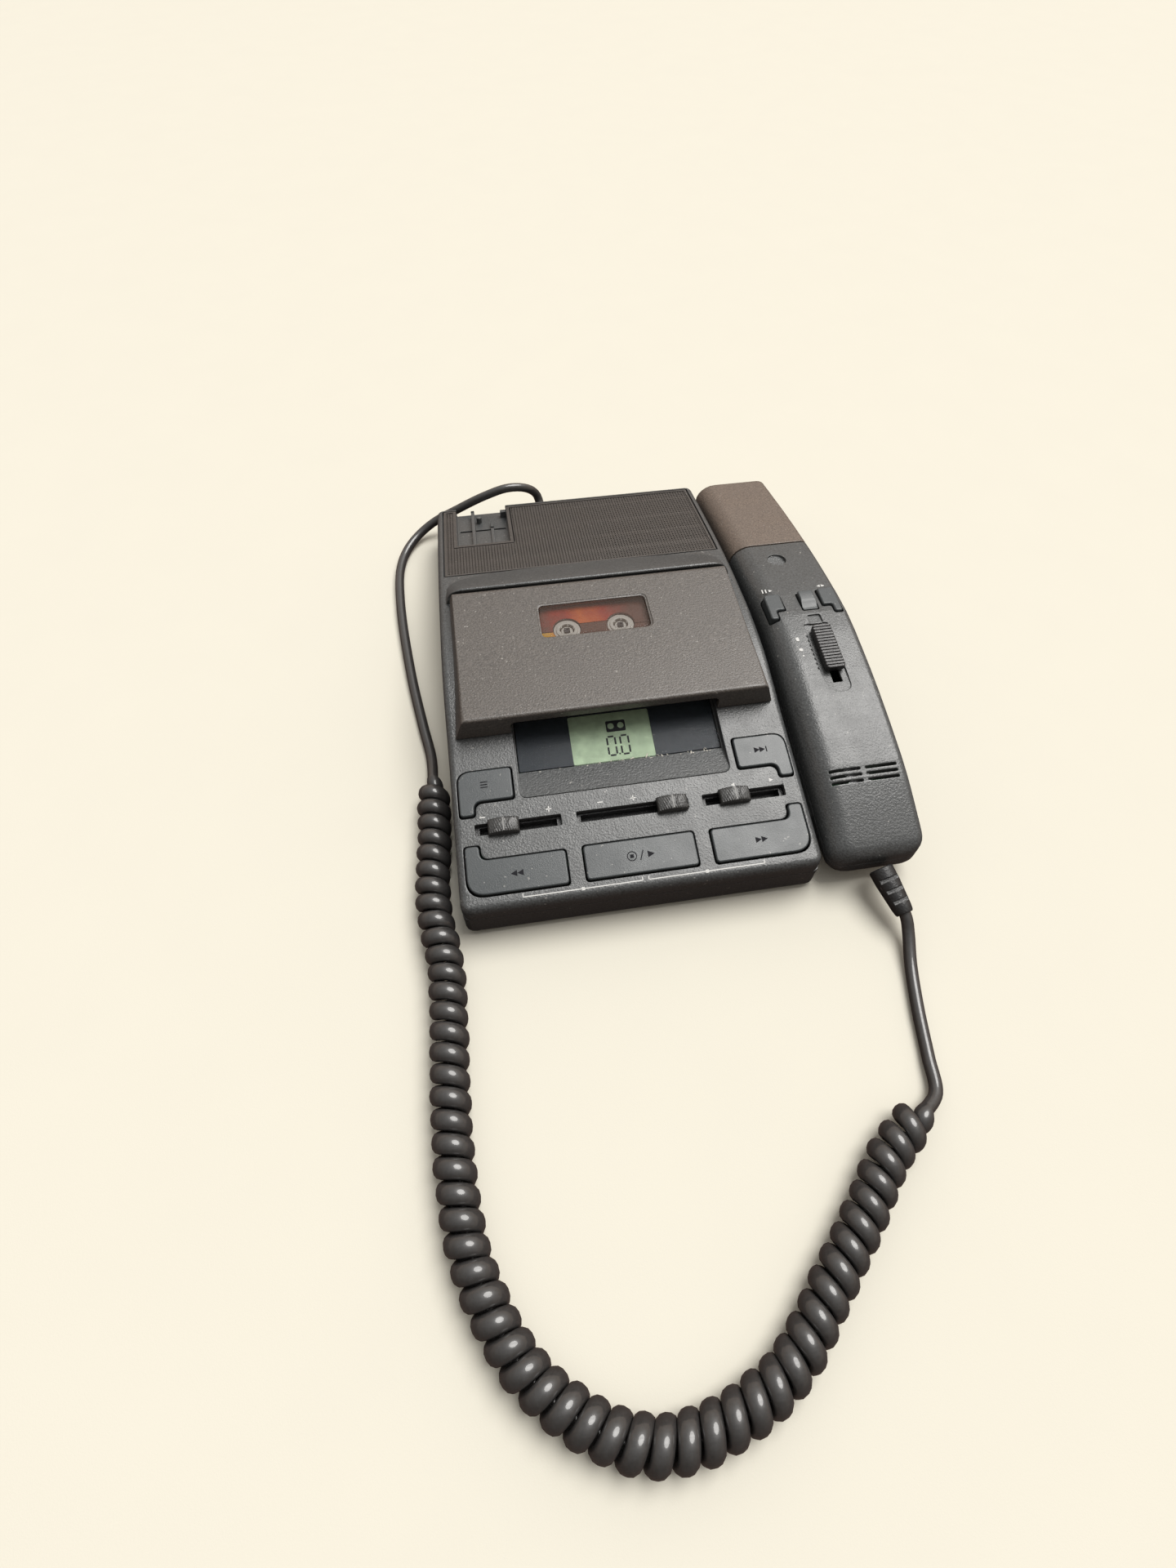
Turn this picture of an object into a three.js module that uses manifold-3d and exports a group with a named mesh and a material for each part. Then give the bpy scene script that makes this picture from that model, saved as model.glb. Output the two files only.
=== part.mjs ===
// A desktop dictation machine for small cassettes, with its handset microphone lying in the cradle on its
// right. Millimetres, +Z up. Inside the machine group X is zero on the centre line of the main unit, Y is
// counted backwards from its front edge and Z is zero on the desk. The group is then moved so that the origin
// is the centre of the raised rating-plate field on the underside.

import * as THREE from 'three';
import { mergeVertices } from 'three/addons/utils/BufferGeometryUtils.js';
import Module from 'manifold-3d';

// Driving dimensions
const UNIT_WIDTH = 127;
const UNIT_DEPTH = 210;
const HALF_WIDTH = UNIT_WIDTH / 2;
const PLATE_HEIGHT = 3;
const UNDERSIDE = 3.4;
const SPLIT_HEIGHT = 12.8;
const WALL = 2.3;
const GAP = 0.3;
const TOUCH = 0.1;
const CORNER_RADIUS = 4;
const EDGE_RADIUS = 3;

const REAR_HEIGHT = 19.6;
const PANEL_DEPTH = 62;
const PANEL_FRONT_HEIGHT = 19.6;
const PANEL_TILT = THREE.MathUtils.degToRad(10.75);
const KEY_GAP = 0.5;
const KEY_PROUD = 1;
const KEY_SKIRT = 5;

const LID_FRONT = 61.5;
const LID_REAR = 129.15;
const LID_FRONT_HEIGHT = 43.2;
const LID_REAR_HEIGHT = 41.8;
const LID_TOP_HALF = 57.3;
const LID_FOOT_HALF = 61.4;
const LID_SKIN = 2;
const HINGE_Y = 126.3;
const HINGE_Z = 39;
const HINGE_PIN_RADIUS = 0.8;
const HINGE_EYE_RADIUS = 1.9;
const HINGE_EYE_WIDTH = 4;
const HINGE_EYES = [-49, 49];
const LID_SWING_RADIUS = 4.2;

const CASSETTE_X = -2;
const HUB_SPACING = 21.7;
const HUB_Y = 105;
const CASSETTE_FLOOR = 31.6;
const CASSETTE_SIZE = { width: 56, depth: 34, height: 7 };
const CASSETTE_FRONT = 87.4;
const HEAD_SPACING = 12;
const DECK_TOP = 30.6;
const WHEEL_RADIUS = 8;
const DRIVE_RIM_RADIUS = 7;
const DRIVE_PULLEY_RADIUS = 10;
const MOTOR_PULLEY_RADIUS = 3;
const FLANGE = 0.8;
const MOTOR_PLACE = { x: 30, y: 112 };

const HANDSET_LEFT = 66.5;
const HANDSET_RIGHT = 101.3;
const HANDSET_REAR = 146.4;
const HANDSET_WALL = 2;
const HANDSET_MIDDLE = (HANDSET_LEFT + HANDSET_RIGHT) / 2;
const CRADLE_FRONT = 147;
const WING_FLOOR = 9;

const COIL_RADIUS = 6.5;
const LEAD_RADIUS = 2.1;

// Facets round a full turn, and heights and half widths that reach past the whole unit, for cutting tools
const ROUND = 24;
const ROUND_SMALL = 14;
const ABOVE = 60;
const BESIDE = 70;

const wasm = await Module();
wasm.setup();

// ---------------------------------------------------------------- solids

function toSolid(geometry) {
  const bare = geometry.clone();
  bare.deleteAttribute('normal');
  bare.deleteAttribute('uv');
  const merged = mergeVertices(bare);
  const corners = merged.index.array;
  const kept = [];
  for (let i = 0; i < corners.length; i += 3) {
    const [a, b, c] = [corners[i], corners[i + 1], corners[i + 2]];
    if (a !== b && b !== c && c !== a) kept.push(a, b, c);
  }
  const mesh = new wasm.Mesh({
    numProp: 3,
    vertProperties: merged.attributes.position.array,
    triVerts: Uint32Array.from(kept),
  });
  return new wasm.Manifold(mesh);
}

function toGeometry(solid) {
  const mesh = solid.getMesh();
  const geometry = new THREE.BufferGeometry();
  geometry.setAttribute('position', new THREE.BufferAttribute(mesh.vertProperties, 3));
  geometry.setIndex(new THREE.BufferAttribute(mesh.triVerts, 1));
  geometry.computeVertexNormals();
  return geometry;
}

function join(...geometries) {
  return toGeometry(geometries.map(toSolid).reduce((sum, next) => sum.add(next)));
}

function cut(base, ...tools) {
  return toGeometry(tools.map(toSolid).reduce((rest, tool) => rest.subtract(tool), toSolid(base)));
}

function common(...geometries) {
  return toGeometry(geometries.map(toSolid).reduce((rest, next) => rest.intersect(next)));
}

function extrude(shape, length, curveSegments = 4) {
  return new THREE.ExtrudeGeometry(shape, { depth: length, bevelEnabled: false, curveSegments });
}

// An outline in (Y, Z), swept along X
function sideExtrude(shape, xFrom, xTo, curveSegments) {
  const turn = new THREE.Matrix4().makeBasis(
    new THREE.Vector3(0, 1, 0),
    new THREE.Vector3(0, 0, 1),
    new THREE.Vector3(1, 0, 0),
  );
  return extrude(shape, xTo - xFrom, curveSegments).applyMatrix4(turn).translate(xFrom, 0, 0);
}

// An outline in (X, Z), swept along Y
function frontExtrude(shape, yFrom, yTo, curveSegments) {
  return extrude(shape, yTo - yFrom, curveSegments).rotateX(Math.PI / 2).translate(0, yTo, 0);
}

// An outline in (X, Y), swept along Z
function planExtrude(shape, zFrom, zTo, curveSegments) {
  return extrude(shape, zTo - zFrom, curveSegments).translate(0, 0, zFrom);
}

function box([x0, x1], [y0, y1], [z0, z1]) {
  const geometry = new THREE.BoxGeometry(x1 - x0, y1 - y0, z1 - z0);
  return geometry.translate((x0 + x1) / 2, (y0 + y1) / 2, (z0 + z1) / 2);
}

function uprightRod(radius, x, y, zFrom, zTo, segments = ROUND) {
  const geometry = new THREE.CylinderGeometry(radius, radius, zTo - zFrom, segments);
  return geometry.rotateX(Math.PI / 2).translate(x, y, (zFrom + zTo) / 2);
}

function crossRod(radius, xFrom, xTo, y, z, segments = ROUND_SMALL) {
  const geometry = new THREE.CylinderGeometry(radius, radius, xTo - xFrom, segments);
  return geometry.rotateZ(Math.PI / 2).translate((xFrom + xTo) / 2, y, z);
}

function deepRod(radius, x, yFrom, yTo, z, segments = ROUND_SMALL) {
  const geometry = new THREE.CylinderGeometry(radius, radius, yTo - yFrom, segments);
  return geometry.translate(x, (yFrom + yTo) / 2, z);
}

// A turned piece: the profile lists [radius, height] round its section, and turns about Z
function turned(profile, x, y, segments = ROUND) {
  const points = profile.map(([radius, height]) => new THREE.Vector2(radius, height));
  if (THREE.ShapeUtils.area(points) < 0) points.reverse();
  return new THREE.LatheGeometry(points, segments).rotateX(Math.PI / 2).translate(x, y, 0);
}

function polygon(points) {
  return new THREE.Shape(points.map(([u, v]) => new THREE.Vector2(u, v)));
}

// A closed outline whose corners [u, v, radius] are rounded
function roundedOutline(corners) {
  const shape = new THREE.Shape();
  corners.forEach(([u, v, radius], i) => {
    const corner = new THREE.Vector2(u, v);
    const before = corners[(i + corners.length - 1) % corners.length];
    const after = corners[(i + 1) % corners.length];
    const entry = new THREE.Vector2(before[0], before[1]).sub(corner).setLength(radius).add(corner);
    const exit = new THREE.Vector2(after[0], after[1]).sub(corner).setLength(radius).add(corner);
    if (i === 0) shape.moveTo(entry.x, entry.y);
    else shape.lineTo(entry.x, entry.y);
    shape.quadraticCurveTo(u, v, exit.x, exit.y);
  });
  shape.closePath();
  return shape;
}

function roundedRectangle([x0, x1], [y0, y1], radius) {
  return roundedOutline([[x0, y0, radius], [x1, y0, radius], [x1, y1, radius], [x0, y1, radius]]);
}

// ---------------------------------------------------------------- the arched top lines, as seen from the side

const CREST_STEPS = 18;

function smoothLine(knots) {
  const curve = new THREE.SplineCurve(knots.map(([y, z]) => new THREE.Vector2(y, z)));
  return curve.getPoints(CREST_STEPS);
}

const unitCrest = [
  new THREE.Vector2(0, PANEL_FRONT_HEIGHT),
  ...smoothLine([
    [PANEL_DEPTH, 31.37], [73, 33.9], [86, 36.2], [104, 36.7], [122, 35.3],
    [146, 32.4], [176, 26.8], [UNIT_DEPTH, REAR_HEIGHT],
  ]),
];
const handsetCrest = smoothLine([
  [0, 19.8], [18, 27], [32, 31.4], [58, 36.3], [78, 38.7],
  [98, 39.9], [122, 37.4], [146, 33.6], [176, 27.6], [UNIT_DEPTH, REAR_HEIGHT],
]);
const handsetBelly = smoothLine([[0, 7.5], [25, 9], [60, 13], [97, 15], [125, 12.6], [HANDSET_REAR, 9.6]]);
const handsetSplit = smoothLine([[0, 13.5], [50, 21], [97, 25], [HANDSET_REAR, 19]]);

function heightOn(line, y) {
  const next = line.findIndex((point, i) => i > 0 && point.x >= y);
  const [a, b] = [line[next - 1], line[next]];
  return a.y + ((b.y - a.y) * (y - a.x)) / (b.x - a.x);
}

// The stretch of a line from one depth to another, raised by an amount
function stretch(line, from, to, raise = 0) {
  const inner = line.filter((point) => point.x > from && point.x < to);
  const ends = [from, to].map((y) => new THREE.Vector2(y, heightOn(line, y)));
  return [ends[0], ...inner, ends[1]].map((point) => [point.x, point.y + raise]);
}

function between(lower, upper) {
  return polygon([...lower, ...[...upper].reverse()]);
}

// The region under a crest with rounded front and rear top edges
function underCrest(line, from, to, low, inset) {
  const shape = new THREE.Shape();
  const start = from + inset;
  const end = to - inset;
  const points = stretch(line, start + EDGE_RADIUS, end - EDGE_RADIUS, -inset);
  const [first, last] = [points[0], points[points.length - 1]];
  const shoulder = EDGE_RADIUS * 0.2;
  shape.moveTo(start, low);
  shape.lineTo(start, first[1] - EDGE_RADIUS);
  shape.quadraticCurveTo(start, first[1] - shoulder, first[0], first[1]);
  points.slice(1).forEach(([y, z]) => shape.lineTo(y, z));
  shape.quadraticCurveTo(end, last[1] - shoulder, end, last[1] - EDGE_RADIUS);
  shape.lineTo(end, low);
  shape.closePath();
  return shape;
}

// ---------------------------------------------------------------- assembly groups

const machine = new THREE.Group();
machine.position.set(0, -UNIT_DEPTH / 2, -PLATE_HEIGHT);

const panel = new THREE.Group();
panel.position.set(0, 0, PANEL_FRONT_HEIGHT);
panel.rotation.x = PANEL_TILT;
panel.updateMatrix();
machine.add(panel);

function addPart(group, name, geometry, color, roughness, metalness = 0) {
  const material = new THREE.MeshStandardMaterial({ color, roughness, metalness });
  const mesh = new THREE.Mesh(geometry, material);
  mesh.name = name;
  group.add(mesh);
}

// Moves a shape drawn on the key panel into the machine group, for cutting the cover
function onPanel(geometry) {
  return geometry.clone().applyMatrix4(panel.matrix);
}

const CHARCOAL = 0x3b3a3c;
const LID_BROWN = 0x413b38;
const KEY_GREY = 0x46484c;
const BLACK = 0x151416;
const STEEL = 0x9a9da0;
const BOARD_GREEN = 0x2f5f3a;

// ---------------------------------------------------------------- outlines on the key panel

// A key with a leg at its outer end. Edge, face and leg are depths on the panel; the outer edge carries the
// large radius, and the leg points away from it.
const lowerKey = { outer: 60.3, inner: 25.8, edge: 5, face: 17, leg: 22.3, bigRadius: 6.5 };
const upperKey = { outer: 60.8, inner: 41.4, edge: 50.2, face: 38.4, leg: 33.4, bigRadius: 5 };
const LEG_WIDTH = 5;
const LEG_FILLET = 3;
const KEY_RADIUS = 1.5;

function legKeyOutline(key, side, grow) {
  const rise = Math.sign(key.face - key.edge) * grow;
  const outer = side * (key.outer + grow);
  const inner = side * (key.inner - grow);
  const legInside = side * (key.outer - LEG_WIDTH - grow);
  return roundedOutline([
    [outer, key.edge - rise, key.bigRadius],
    [inner, key.edge - rise, KEY_RADIUS],
    [inner, key.face + rise, KEY_RADIUS],
    [legInside, key.face + rise, LEG_FILLET],
    [legInside, key.leg + rise, KEY_RADIUS],
    [outer, key.leg + rise, KEY_RADIUS],
  ]);
}

const stopKey = { half: 19.6, edge: 5.2, face: 17.3 };

function stopKeyOutline(grow) {
  const half = stopKey.half + grow;
  return roundedRectangle([-half, half], [stopKey.edge - grow, stopKey.face + grow], KEY_RADIUS);
}

const keys = [
  ['stop_play_key', (grow) => stopKeyOutline(grow)],
  ['rewind_key', (grow) => legKeyOutline(lowerKey, -1, grow)],
  ['wind_key', (grow) => legKeyOutline(lowerKey, 1, grow)],
  ['letter_key', (grow) => legKeyOutline(upperKey, -1, grow)],
  ['search_key', (grow) => legKeyOutline(upperKey, 1, grow)],
];

const SLIDER_Y = 28.2;
const SLOT_HALF = 2;
const sliders = [
  { name: 'speed', slot: [-56.2, -25.6], knobX: -46 },
  { name: 'volume', slot: [-20.1, 20.3], knobX: 14.3 },
  { name: 'tone', slot: [25.7, 56.2], knobX: 37.2 },
];

const LCD_OPENING = { x: [-39.2, 38.4], y: [37.8, 70] };

// The case screws: the front pair is shorter, because the cover is lower there
const FRONT_SCREW_X = 22.7;
const screws = [
  { x: -FRONT_SCREW_X, y: 11.5, tip: 16 },
  { x: FRONT_SCREW_X, y: 11.5, tip: 16 },
  { x: -56.5, y: 158, tip: 20 },
  { x: 56.5, y: 158, tip: 20 },
];
const SCREW_HEAD_RADIUS = 2.6;
const SCREW_SHANK_RADIUS = 1.3;

// ---------------------------------------------------------------- base shell

const WING = { x: [61.5, 100.4], front: 24, saddleDrop: 0.7 };
const WING_FOOT = { x: 88, y: 194 };
const RATING_PLATE = { half: 26, halfDepth: 15 };
const SOCKET_HEIGHT = 9;
const SOCKET_RADIUS = 3.2;
const sockets = [
  { name: 'handset_socket', x: -12 },
  { name: 'headset_socket', x: 6 },
  { name: 'foot_control_socket', x: 24 },
  { name: 'power_socket', x: 42 },
];

function unitPlan(inset) {
  const x = HALF_WIDTH - inset;
  return roundedRectangle([-x, x], [inset, UNIT_DEPTH - inset], CORNER_RADIUS);
}

// The channel on the right that carries the handset and the cradle cover
function cradleWing() {
  const { x, front, saddleDrop } = WING;
  const saddle = [
    ...stretch(handsetBelly, front, HANDSET_REAR - 0.4, -saddleDrop),
    [CRADLE_FRONT, WING_FLOOR],
    [UNIT_DEPTH, WING_FLOOR],
  ];
  const hollowEnds = [front + WALL, UNIT_DEPTH - WALL];
  const skin = saddle
    .map(([y, z]) => [y, z - WALL])
    .filter(([y]) => y > hollowEnds[0] && y < hollowEnds[1]);
  const outer = sideExtrude(between([[front, UNDERSIDE], [UNIT_DEPTH, UNDERSIDE]], saddle), ...x);
  const hollow = between(hollowEnds.map((y) => [y, 0]), skin);
  const besideCover = box([x[0] - 1, HALF_WIDTH + 0.5], [0, UNIT_DEPTH + 1], [SPLIT_HEIGHT, ABOVE]);
  const footPad = uprightRod(6.5, WING_FOOT.x, WING_FOOT.y, UNDERSIDE, WING_FLOOR - 1);
  return join(cut(outer, sideExtrude(hollow, HALF_WIDTH + WALL, x[1] - WALL), besideCover), footPad);
}

function baseShell() {
  const floor = UNDERSIDE + WALL;
  const tray = cut(
    planExtrude(unitPlan(0), UNDERSIDE, SPLIT_HEIGHT),
    planExtrude(unitPlan(WALL), floor, SPLIT_HEIGHT + 1),
  );
  const onScrew = (radius, from, to) => (
    screws.map(({ x, y }) => uprightRod(radius, x, y, from, to, ROUND_SMALL))
  );
  const posts = onScrew(3.4, floor - 1, SPLIT_HEIGHT);
  const heads = onScrew(SCREW_HEAD_RADIUS + GAP, 0, 6.4);
  const shanks = onScrew(SCREW_SHANK_RADIUS + 0.4, 0, ABOVE);
  const socketHoles = sockets.map(({ x }) => (
    deepRod(SOCKET_RADIUS + GAP, x, UNIT_DEPTH - 4, UNIT_DEPTH + 1, SOCKET_HEIGHT)
  ));
  const middle = UNIT_DEPTH / 2;
  const { half, halfDepth } = RATING_PLATE;
  const plateOutline = roundedRectangle([-half, half], [middle - halfDepth, middle + halfDepth], 2);
  const plate = planExtrude(plateOutline, PLATE_HEIGHT, floor);
  return cut(join(tray, plate, cradleWing(), ...posts), ...heads, ...shanks, ...socketHoles);
}

addPart(machine, 'base_shell', baseShell(), CHARCOAL, 0.75);

// ---------------------------------------------------------------- top cover

const GRILLE = { x: [-60.3, 60.3], y: [149.3, 206.4], thickness: 1.4 };
const BAY = {
  x: [-54.2, -30.2],
  front: 173.6,
  rear: UNIT_DEPTH + 3,
  floorFront: 22.9,
  floorRear: 13.6,
  ribs: [-46.4, -37.6],
  slot: [192.4, 193.6],
};
const BAY_WALL = 1.2;
const CASSETTE_BAY = { x: [-46, 46], y: [75, 122.5] };
const SPEAKER_OPENING = { x: [-20, 50], y: [154, 202] };

function unitBody(inset, low) {
  const x = HALF_WIDTH - inset;
  const arch = sideExtrude(underCrest(unitCrest, 0, UNIT_DEPTH, low, inset), -x, x);
  return common(arch, planExtrude(unitPlan(inset), 0, ABOVE));
}

// The raised fairing behind the lid, falling away to the rear and at its two ends
function hingeFairing() {
  const side = polygon([
    [129.7, 30], [129.7, 40.2], [129.3, 40.2], [129.6, 41.7],
    [131, 41.5], [149, 31.8], [149, 28],
  ]);
  const front = roundedOutline([[-61, 28, 0.5], [61, 28, 0.5], [59.5, 42.2, 9], [-59.5, 42.2, 9]]);
  const fairing = common(sideExtrude(side, -BESIDE, BESIDE), frontExtrude(front, LID_REAR - 1, 150));
  return cut(fairing, crossRod(LID_SWING_RADIUS, -LID_FOOT_HALF, LID_FOOT_HALF, HINGE_Y, HINGE_Z, ROUND));
}

function bayFloorLine(drop) {
  return [[BAY.front - BAY_WALL, BAY.floorFront - drop], [BAY.rear, BAY.floorRear - drop]];
}

function cableBayWalls() {
  const [x0, x1] = BAY.x;
  const block = between(bayFloorLine(1.6), [[BAY.front - BAY_WALL, ABOVE], [BAY.rear, ABOVE]]);
  return common(unitBody(0, SPLIT_HEIGHT), sideExtrude(block, x0 - BAY_WALL, x1 + BAY_WALL));
}

function cableBayPocket() {
  const [x0, x1] = BAY.x;
  const pocket = between(
    [[BAY.front, BAY.floorFront], [BAY.rear, BAY.floorRear]],
    [[BAY.front, ABOVE], [BAY.rear, ABOVE]],
  );
  const ribs = BAY.ribs.map((x) => box([x - 0.8, x + 0.8], [BAY.front - 1, UNIT_DEPTH - 4], [10, 45]));
  const ribTop = between(stretch(unitCrest, 160, 209, -1.6), stretch(unitCrest, 160, 209, 30));
  const open = sideExtrude(pocket, x0, x1);
  return cut(open, ...ribs.map((rib) => cut(rib, sideExtrude(ribTop, x0, x1))));
}

function grilleSeat() {
  const { x, y, thickness } = GRILLE;
  const band = between(
    stretch(unitCrest, y[0] - GAP, y[1] + GAP, -thickness - GAP),
    stretch(unitCrest, y[0] - GAP, y[1] + GAP, 3),
  );
  return sideExtrude(band, x[0] - GAP, x[1] + GAP);
}

function coverScrewPosts() {
  const roof = unitBody(1, SPLIT_HEIGHT);
  const seat = SPLIT_HEIGHT + TOUCH;
  return screws.map(({ x, y }) => common(uprightRod(3, x, y, seat, ABOVE, ROUND_SMALL), roof));
}

function topCover() {
  const shell = cut(unitBody(0, SPLIT_HEIGHT + TOUCH), unitBody(WALL, 0));
  const half = HINGE_EYE_WIDTH / 2;
  const hingePosts = HINGE_EYES.map((x) => (
    box([x - half, x + half], [HINGE_Y - 2.2, HINGE_Y + 0.3], [33, HINGE_Z])
  ));
  const hingeEyes = HINGE_EYES.map((x) => crossRod(HINGE_EYE_RADIUS, x - half, x + half, HINGE_Y, HINGE_Z));
  const solid = join(shell, hingeFairing(), cableBayWalls(), ...coverScrewPosts(), ...hingePosts, ...hingeEyes);
  const keyHoles = keys.map(([, outline]) => onPanel(planExtrude(outline(KEY_GAP), -9, 4)));
  const slots = sliders.map(({ slot }) => (
    onPanel(box(slot, [SLIDER_Y - SLOT_HALF, SLIDER_Y + SLOT_HALF], [-6, 4]))
  ));
  const lcdHole = onPanel(box(LCD_OPENING.x, LCD_OPENING.y, [-6, 6]));
  const screwHoles = screws.map(({ x, y, tip }) => (
    uprightRod(SCREW_SHANK_RADIUS + GAP, x, y, 0, tip + 1.5, ROUND_SMALL)
  ));
  const speakerHole = box(SPEAKER_OPENING.x, SPEAKER_OPENING.y, [10, ABOVE]);
  return cut(
    solid,
    ...keyHoles,
    ...slots,
    lcdHole,
    ...screwHoles,
    grilleSeat(),
    common(speakerHole, unitBody(1, 0)),
    cableBayPocket(),
    box([BAY.x[0] + 1, BAY.x[1] - 1], BAY.slot, [10, 20.5]),
    box(CASSETTE_BAY.x, CASSETTE_BAY.y, [20, ABOVE]),
    crossRod(HINGE_PIN_RADIUS + GAP, -ABOVE, ABOVE, HINGE_Y, HINGE_Z),
  );
}

addPart(machine, 'top_cover', topCover(), CHARCOAL, 0.7);

// ---------------------------------------------------------------- speaker grille and loudspeaker

const SOUND_SLOTS = { count: 12, x: [-14, 44], from: 156, pitch: 3.8, width: 1.4 };

function speakerGrille() {
  const { x, y, thickness } = GRILLE;
  const plate = sideExtrude(between(stretch(unitCrest, ...y, -thickness), stretch(unitCrest, ...y)), ...x);
  const bayHole = box([BAY.x[0] - 0.2, BAY.x[1] + 0.2], [BAY.front - 0.2, BAY.rear], [0, ABOVE]);
  const { count, from, pitch, width } = SOUND_SLOTS;
  const slots = Array.from({ length: count }, (_, i) => (
    box(SOUND_SLOTS.x, [from + i * pitch, from + i * pitch + width], [0, ABOVE])
  ));
  return cut(plate, bayHole, ...slots);
}

addPart(machine, 'speaker_grille', speakerGrille(), 0x38332f, 0.8);

const speakerMount = new THREE.Group();
speakerMount.position.set(15, 178, 22);
speakerMount.rotation.x = THREE.MathUtils.degToRad(-11);
machine.add(speakerMount);

function loudspeaker() {
  const frame = [
    [0, -11], [8.5, -11], [8.5, -5], [13, -4.5], [21, -1.2],
    [23, -1.2], [23, 0], [20, 0], [7, -3], [5, -1.8], [0, -1.2],
  ];
  return toGeometry(toSolid(turned(frame, 0, 0)));
}

addPart(speakerMount, 'loudspeaker', loudspeaker(), 0x2a2624, 0.85);

// ---------------------------------------------------------------- cassette lid

function lidBlock(inset) {
  const [front, rear] = [LID_FRONT + inset, LID_REAR];
  const [frontTop, rearTop] = [LID_FRONT_HEIGHT - inset, LID_REAR_HEIGHT - inset];
  const profile = roundedOutline([
    [front + 1.6, 22, 0.2],
    [rear, 22, 0.2],
    [rear, rearTop, 2.6],
    [front, frontTop, 1.2],
  ]);
  const [foot, top] = [LID_FOOT_HALF - inset, LID_TOP_HALF - inset];
  const section = roundedOutline([[-foot, 30, 0.3], [foot, 30, 0.3], [top, frontTop, 1], [-top, frontTop, 1]]);
  return common(sideExtrude(profile, -BESIDE, BESIDE), frontExtrude(section, LID_FRONT - 1, LID_REAR + 1));
}

const LIP_NOTCH = { x: [-39.6, 38.8], top: 38.8 };
const LID_WINDOW = { x: [-23.2, 20.2], y: [98.9, 116], radius: 2.2 };

function cassetteLid() {
  const [front, rear] = [LID_FRONT - 1, LID_REAR + 1];
  const cover = between([[front, 0], [rear, 0]], stretch(unitCrest, front, rear, 0.45));
  const underside = sideExtrude(cover, -BESIDE, BESIDE);
  const clear = HINGE_EYE_RADIUS + 0.4;
  const bar = HINGE_Y - 4.5;
  const hollow = common(lidBlock(LID_SKIN), box([-BESIDE, BESIDE], [LID_FRONT + 3, bar], [0, ABOVE]));
  const half = HINGE_EYE_WIDTH / 2 + 0.5;
  const eyeNotches = HINGE_EYES.flatMap((x) => [
    box([x - half, x + half], [bar - 1, rear], [30, HINGE_Z]),
    crossRod(clear, x - half, x + half, HINGE_Y, HINGE_Z),
  ]);
  const barUnderside = box([-BESIDE, BESIDE], [bar - 1, rear + 1], [20, HINGE_Z - clear]);
  const lipNotch = frontExtrude(
    roundedOutline([[LIP_NOTCH.x[0], 20, 1], [LIP_NOTCH.x[1], 20, 1], [LIP_NOTCH.x[1], LIP_NOTCH.top, 2.4],
      [LIP_NOTCH.x[0], LIP_NOTCH.top, 2.4]]),
    LID_FRONT - 1,
    LID_FRONT + 4,
  );
  return cut(
    lidBlock(0),
    underside,
    hollow,
    lipNotch,
    barUnderside,
    ...eyeNotches,
    crossRod(HINGE_PIN_RADIUS + GAP, -53, 53, HINGE_Y, HINGE_Z),
    planExtrude(roundedRectangle(LID_WINDOW.x, LID_WINDOW.y, LID_WINDOW.radius), 30, ABOVE),
  );
}

function lidWindow() {
  const [x0, x1] = LID_WINDOW.x;
  const [y0, y1] = LID_WINDOW.y;
  const plan = roundedRectangle([x0 + GAP, x1 - GAP], [y0 + GAP, y1 - GAP], LID_WINDOW.radius);
  return planExtrude(plan, 40.7, 41.9);
}

addPart(machine, 'cassette_lid', cassetteLid(), LID_BROWN, 0.7);
addPart(machine, 'lid_window', lidWindow(), 0x6d5a52, 0.2);
addPart(machine, 'lid_hinge_pin', crossRod(HINGE_PIN_RADIUS, -52, 52, HINGE_Y, HINGE_Z), STEEL, 0.3, 1);

function lidCatch() {
  const rear = 74.8;
  const foot = heightOn(unitCrest, rear) + TOUCH;
  const side = polygon([[rear - 4.4, foot], [rear, foot], [rear, foot + 1], [rear - 2, foot + 1],
    [rear - 2.4, foot + 4.4], [rear - 4, foot + 3.6], [rear - 3.4, foot + 1], [rear - 4.4, foot + 1]]);
  return sideExtrude(side, -4, 4);
}

addPart(machine, 'lid_catch', lidCatch(), STEEL, 0.4, 1);

// ---------------------------------------------------------------- cassette and its drive

const spindles = [
  { side: 'left', x: CASSETTE_X - HUB_SPACING / 2, packRadius: 9.6 },
  { side: 'right', x: CASSETTE_X + HUB_SPACING / 2, packRadius: 6.6 },
];

function cassetteShell() {
  const half = CASSETTE_SIZE.width / 2;
  const [x0, x1] = [CASSETTE_X - half, CASSETTE_X + half];
  const [y0, y1] = [CASSETTE_FRONT, CASSETTE_FRONT + CASSETTE_SIZE.depth];
  const top = CASSETTE_FLOOR + CASSETTE_SIZE.height;
  const block = planExtrude(roundedRectangle([x0, x1], [y0, y1], 1.5), CASSETTE_FLOOR, top);
  const hollow = box([x0 + 1.5, x1 - 1.5], [y0 + 1.5, y1 - 1.5], [CASSETTE_FLOOR + 1.2, top - 1.2]);
  const hubHoles = spindles.map(({ x }) => uprightRod(4.8, x, HUB_Y, 20, 50));
  const headOpenings = [-HEAD_SPACING, 0, HEAD_SPACING].map((x) => (
    box([CASSETTE_X + x - 4, CASSETTE_X + x + 4], [y0 - 1, y0 + 3], [CASSETTE_FLOOR - 1, top - 1.2])
  ));
  return cut(block, hollow, ...hubHoles, ...headOpenings);
}

addPart(machine, 'cassette_shell', cassetteShell(), 0x8a3a22, 0.35);

const REEL = { bore: 2.6, hub: 4.3, hubZ: [32.4, 38], tapeZ: [33.3, 36.9] };

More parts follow.
